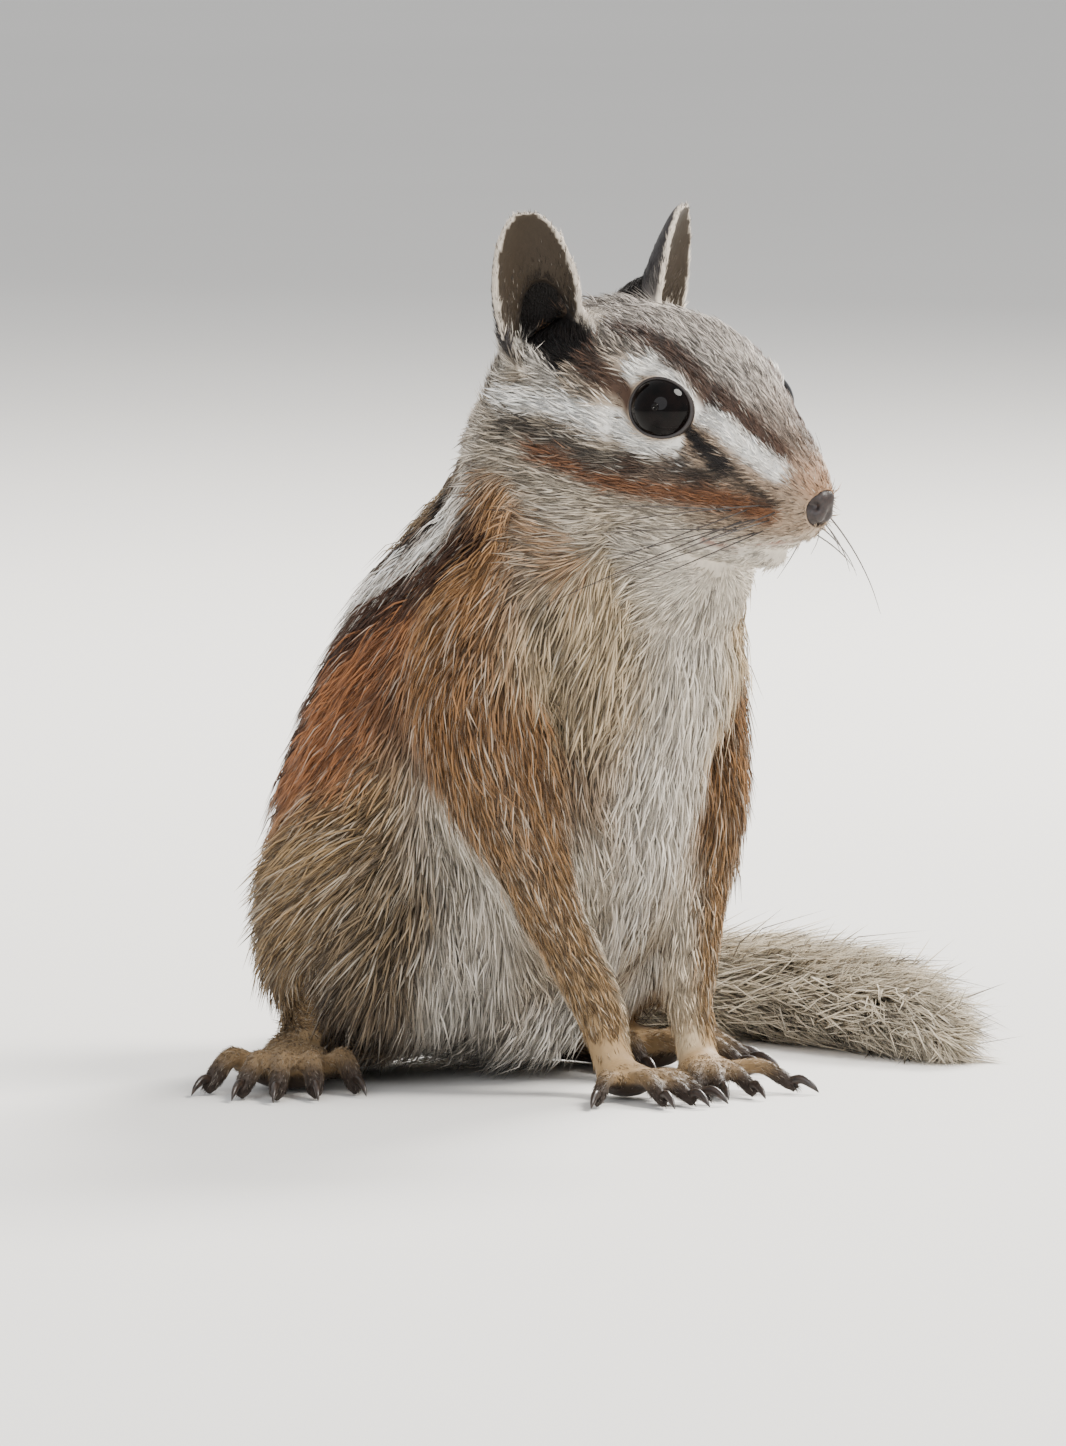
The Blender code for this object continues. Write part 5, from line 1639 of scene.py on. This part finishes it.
def settle(obj, material, nodes=()):
    obj.data.transform(INTO_WORLD)
    obj.data.materials.clear()
    obj.data.materials.append(material)
    obj.data.shade_smooth()
    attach(obj, "root")
    if nodes:
        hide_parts(*nodes)
    return obj


skin, outer, part, guides = make_skin()
unwrap(skin)
ground = Ground(skin, outer, part, guides)
paint = skin.data.color_attributes.new(name="coat", type="FLOAT_COLOR", domain="POINT")
skin_colours = np.hstack([np.clip(ground.colours[:, :3], 0, 1), np.ones((len(outer), 1))])
paint.data.foreach_set("color", skin_colours.ravel())

fur = fur_material("fur")
hide = fur_material("hide", darker=0.72, strand=False)
LAYERS = {
    "coat_head_fine": Layer(HEAD, STRAIGHT, 2.3, 4.0, length=0.95, width=0.72, mottle=0.15),
    "coat_head_long": Layer(HEAD, BENT, 0.5, 2.0, length=1.2, width=0.75, lift=1.1, mottle=0.15),
    "coat_trunk_fine": Layer(TRUNK, STRAIGHT, 2.0, 1.2, width=0.6, mottle=0.6),
    "coat_trunk_long": Layer(TRUNK, BENT, 0.45, 0.9, length=1.2, width=0.62, lift=1.15, mottle=0.7),
    "coat_forelegs_fine": Layer(LIMB, STRAIGHT, 2.2, 1.6, width=0.6, mottle=0.5),
    "coat_forelegs_long": Layer(LIMB, BENT, 0.45, 1.2, length=1.15, width=0.62, lift=1.15, mottle=0.6),
    "coat_feet": Layer(FOOT, STRAIGHT, 1.5, 5.0, width=0.85, mottle=0.3),
    "coat_ears": Layer(EAR, STRAIGHT, 1.7, 5.0, width=0.8, mottle=0.12),
    "coat_tail_fine": Layer(TAIL_PART, STRAIGHT, 1.8, 1.5, width=0.5, spread=0.3, mottle=0.5),
    "coat_tail_long": Layer(TAIL_PART, BENT, 0.9, 1.2, length=1.1, width=0.5, spread=0.28, mottle=0.5),
}
pieces = [piece for name, layer in LAYERS.items() for piece in grow(name, ground, layer)]
settle(skin, hide, FLESH)
for piece in pieces:
    settle(piece, fur)

# Looks of the bare pieces: two colours, scale of their noise, roughness, height of the bumps
LOOKS = {
    "eye_black": (rgb(14, 9, 8), rgb(6, 5, 5), 900, 0.03, 0.000001),
    "lid_skin": (rgb(36, 26, 22), rgb(22, 16, 14), 3000, 0.5, 0.00003),
    "nose_skin": (rgb(46, 32, 28), rgb(24, 17, 16), 4200, 0.45, 0.00006),
    "horn": (rgb(52, 40, 33), rgb(26, 20, 17), 2500, 0.35, 0.00002),
    "whisker": (rgb(60, 50, 44), rgb(32, 26, 24), 900, 0.4, 0.000005),
    "floor_pale": (rgb(222, 220, 216), rgb(226, 224, 220), 2.0, 0.9, 0.00001),
}
looks = {name: plain_material(name, *look) for name, look in LOOKS.items()}
EYE_GLOSS = 0.1  # less than glass, because the eye mirrors a pale room
looks["eye_black"].node_tree.nodes["Principled BSDF"].inputs["Specular IOR Level"].default_value = EYE_GLOSS
for side in SIDES:
    settle(make_eye(side), looks["eye_black"], [f"eye_{side}"])
    settle(make_lids(side), looks["lid_skin"])
settle(make_nose(), looks["nose_skin"], ["nose"])
settle(make_claws(), looks["horn"])
settle(make_whiskers(), looks["whisker"])


# Stage, lights and camera

def make_floor():
    bm = bmesh.new()
    bmesh.ops.create_grid(bm, x_segments=1, y_segments=1, size=4.0)
    mesh = bpy.data.meshes.new("floor")
    bm.to_mesh(mesh)
    bm.free()
    floor = bpy.data.objects.new("floor", mesh)
    bpy.context.scene.collection.objects.link(floor)
    floor.data.materials.append(looks["floor_pale"])


LIGHTS = {  # place, size, power and colour
    "key": ((0.25, -0.5, 0.75), 0.35, 14, (1.0, 0.96, 0.9)),
    "rim": ((0.7, 0.25, 0.6), 0.3, 20, (1.0, 0.97, 0.92)),
    "fill": ((-0.8, -0.5, 0.45), 0.8, 6, (0.93, 0.96, 1.0)),
}
LIT = (0, 0, 0.04)  # where they all point
ROOM_COLOUR = (0.93, 0.94, 0.96, 1)
ROOM_STRENGTH = 0.85


def add_light(name, place, size, power, colour):
    data = bpy.data.lights.new(name, "AREA")
    data.shape = "DISK"
    data.size = size
    data.energy = power
    data.color = colour
    light = bpy.data.objects.new(name, data)
    light.location = place
    light.rotation_euler = (Vector(LIT) - Vector(place)).to_track_quat("-Z", "Y").to_euler()
    bpy.context.scene.collection.objects.link(light)


def light_room():
    world = bpy.data.worlds.new("studio")
    world.use_nodes = True
    inputs = world.node_tree.nodes["Background"].inputs
    inputs["Color"].default_value = ROOM_COLOUR
    inputs["Strength"].default_value = ROOM_STRENGTH
    bpy.context.scene.world = world


CAMERA_AZIMUTH = -42.0
CAMERA_HEIGHT_ANGLE = 4.5
CAMERA_DISTANCE = 1.5
PIXELS_PER_MM = 11.0
IMAGE = (1066, 1446)
ORIGIN_PIXEL = (487, 1075)  # where the design frame's origin is in the photo


def make_camera():
    azimuth, rise = math.radians(CAMERA_AZIMUTH), math.radians(CAMERA_HEIGHT_ANGLE)
    right = Vector((math.cos(azimuth), math.sin(azimuth), 0))
    back = Vector((math.sin(azimuth) * math.cos(rise), -math.cos(azimuth) * math.cos(rise), math.sin(rise)))
    up = back.cross(right)
    across = (IMAGE[0] / 2 - ORIGIN_PIXEL[0]) / PIXELS_PER_MM
    high = (ORIGIN_PIXEL[1] - IMAGE[1] / 2) / PIXELS_PER_MM
    target = (SHIFT + right * across + up * high) * MM
    data = bpy.data.cameras.new("camera")
    data.sensor_width = 36.0
    half = IMAGE[1] / 2 / PIXELS_PER_MM * MM
    data.lens = data.sensor_width / 2 / (half / CAMERA_DISTANCE)
    data.clip_start = 0.05
    camera = bpy.data.objects.new("camera", data)
    camera.location = target + back * CAMERA_DISTANCE
    camera.rotation_euler = Matrix((right, up, back)).transposed().to_euler()
    bpy.context.scene.collection.objects.link(camera)
    bpy.context.scene.camera = camera


make_floor()
for name, light in LIGHTS.items():
    add_light(name, *light)
light_room()
make_camera()

bpy.context.view_layer.update()
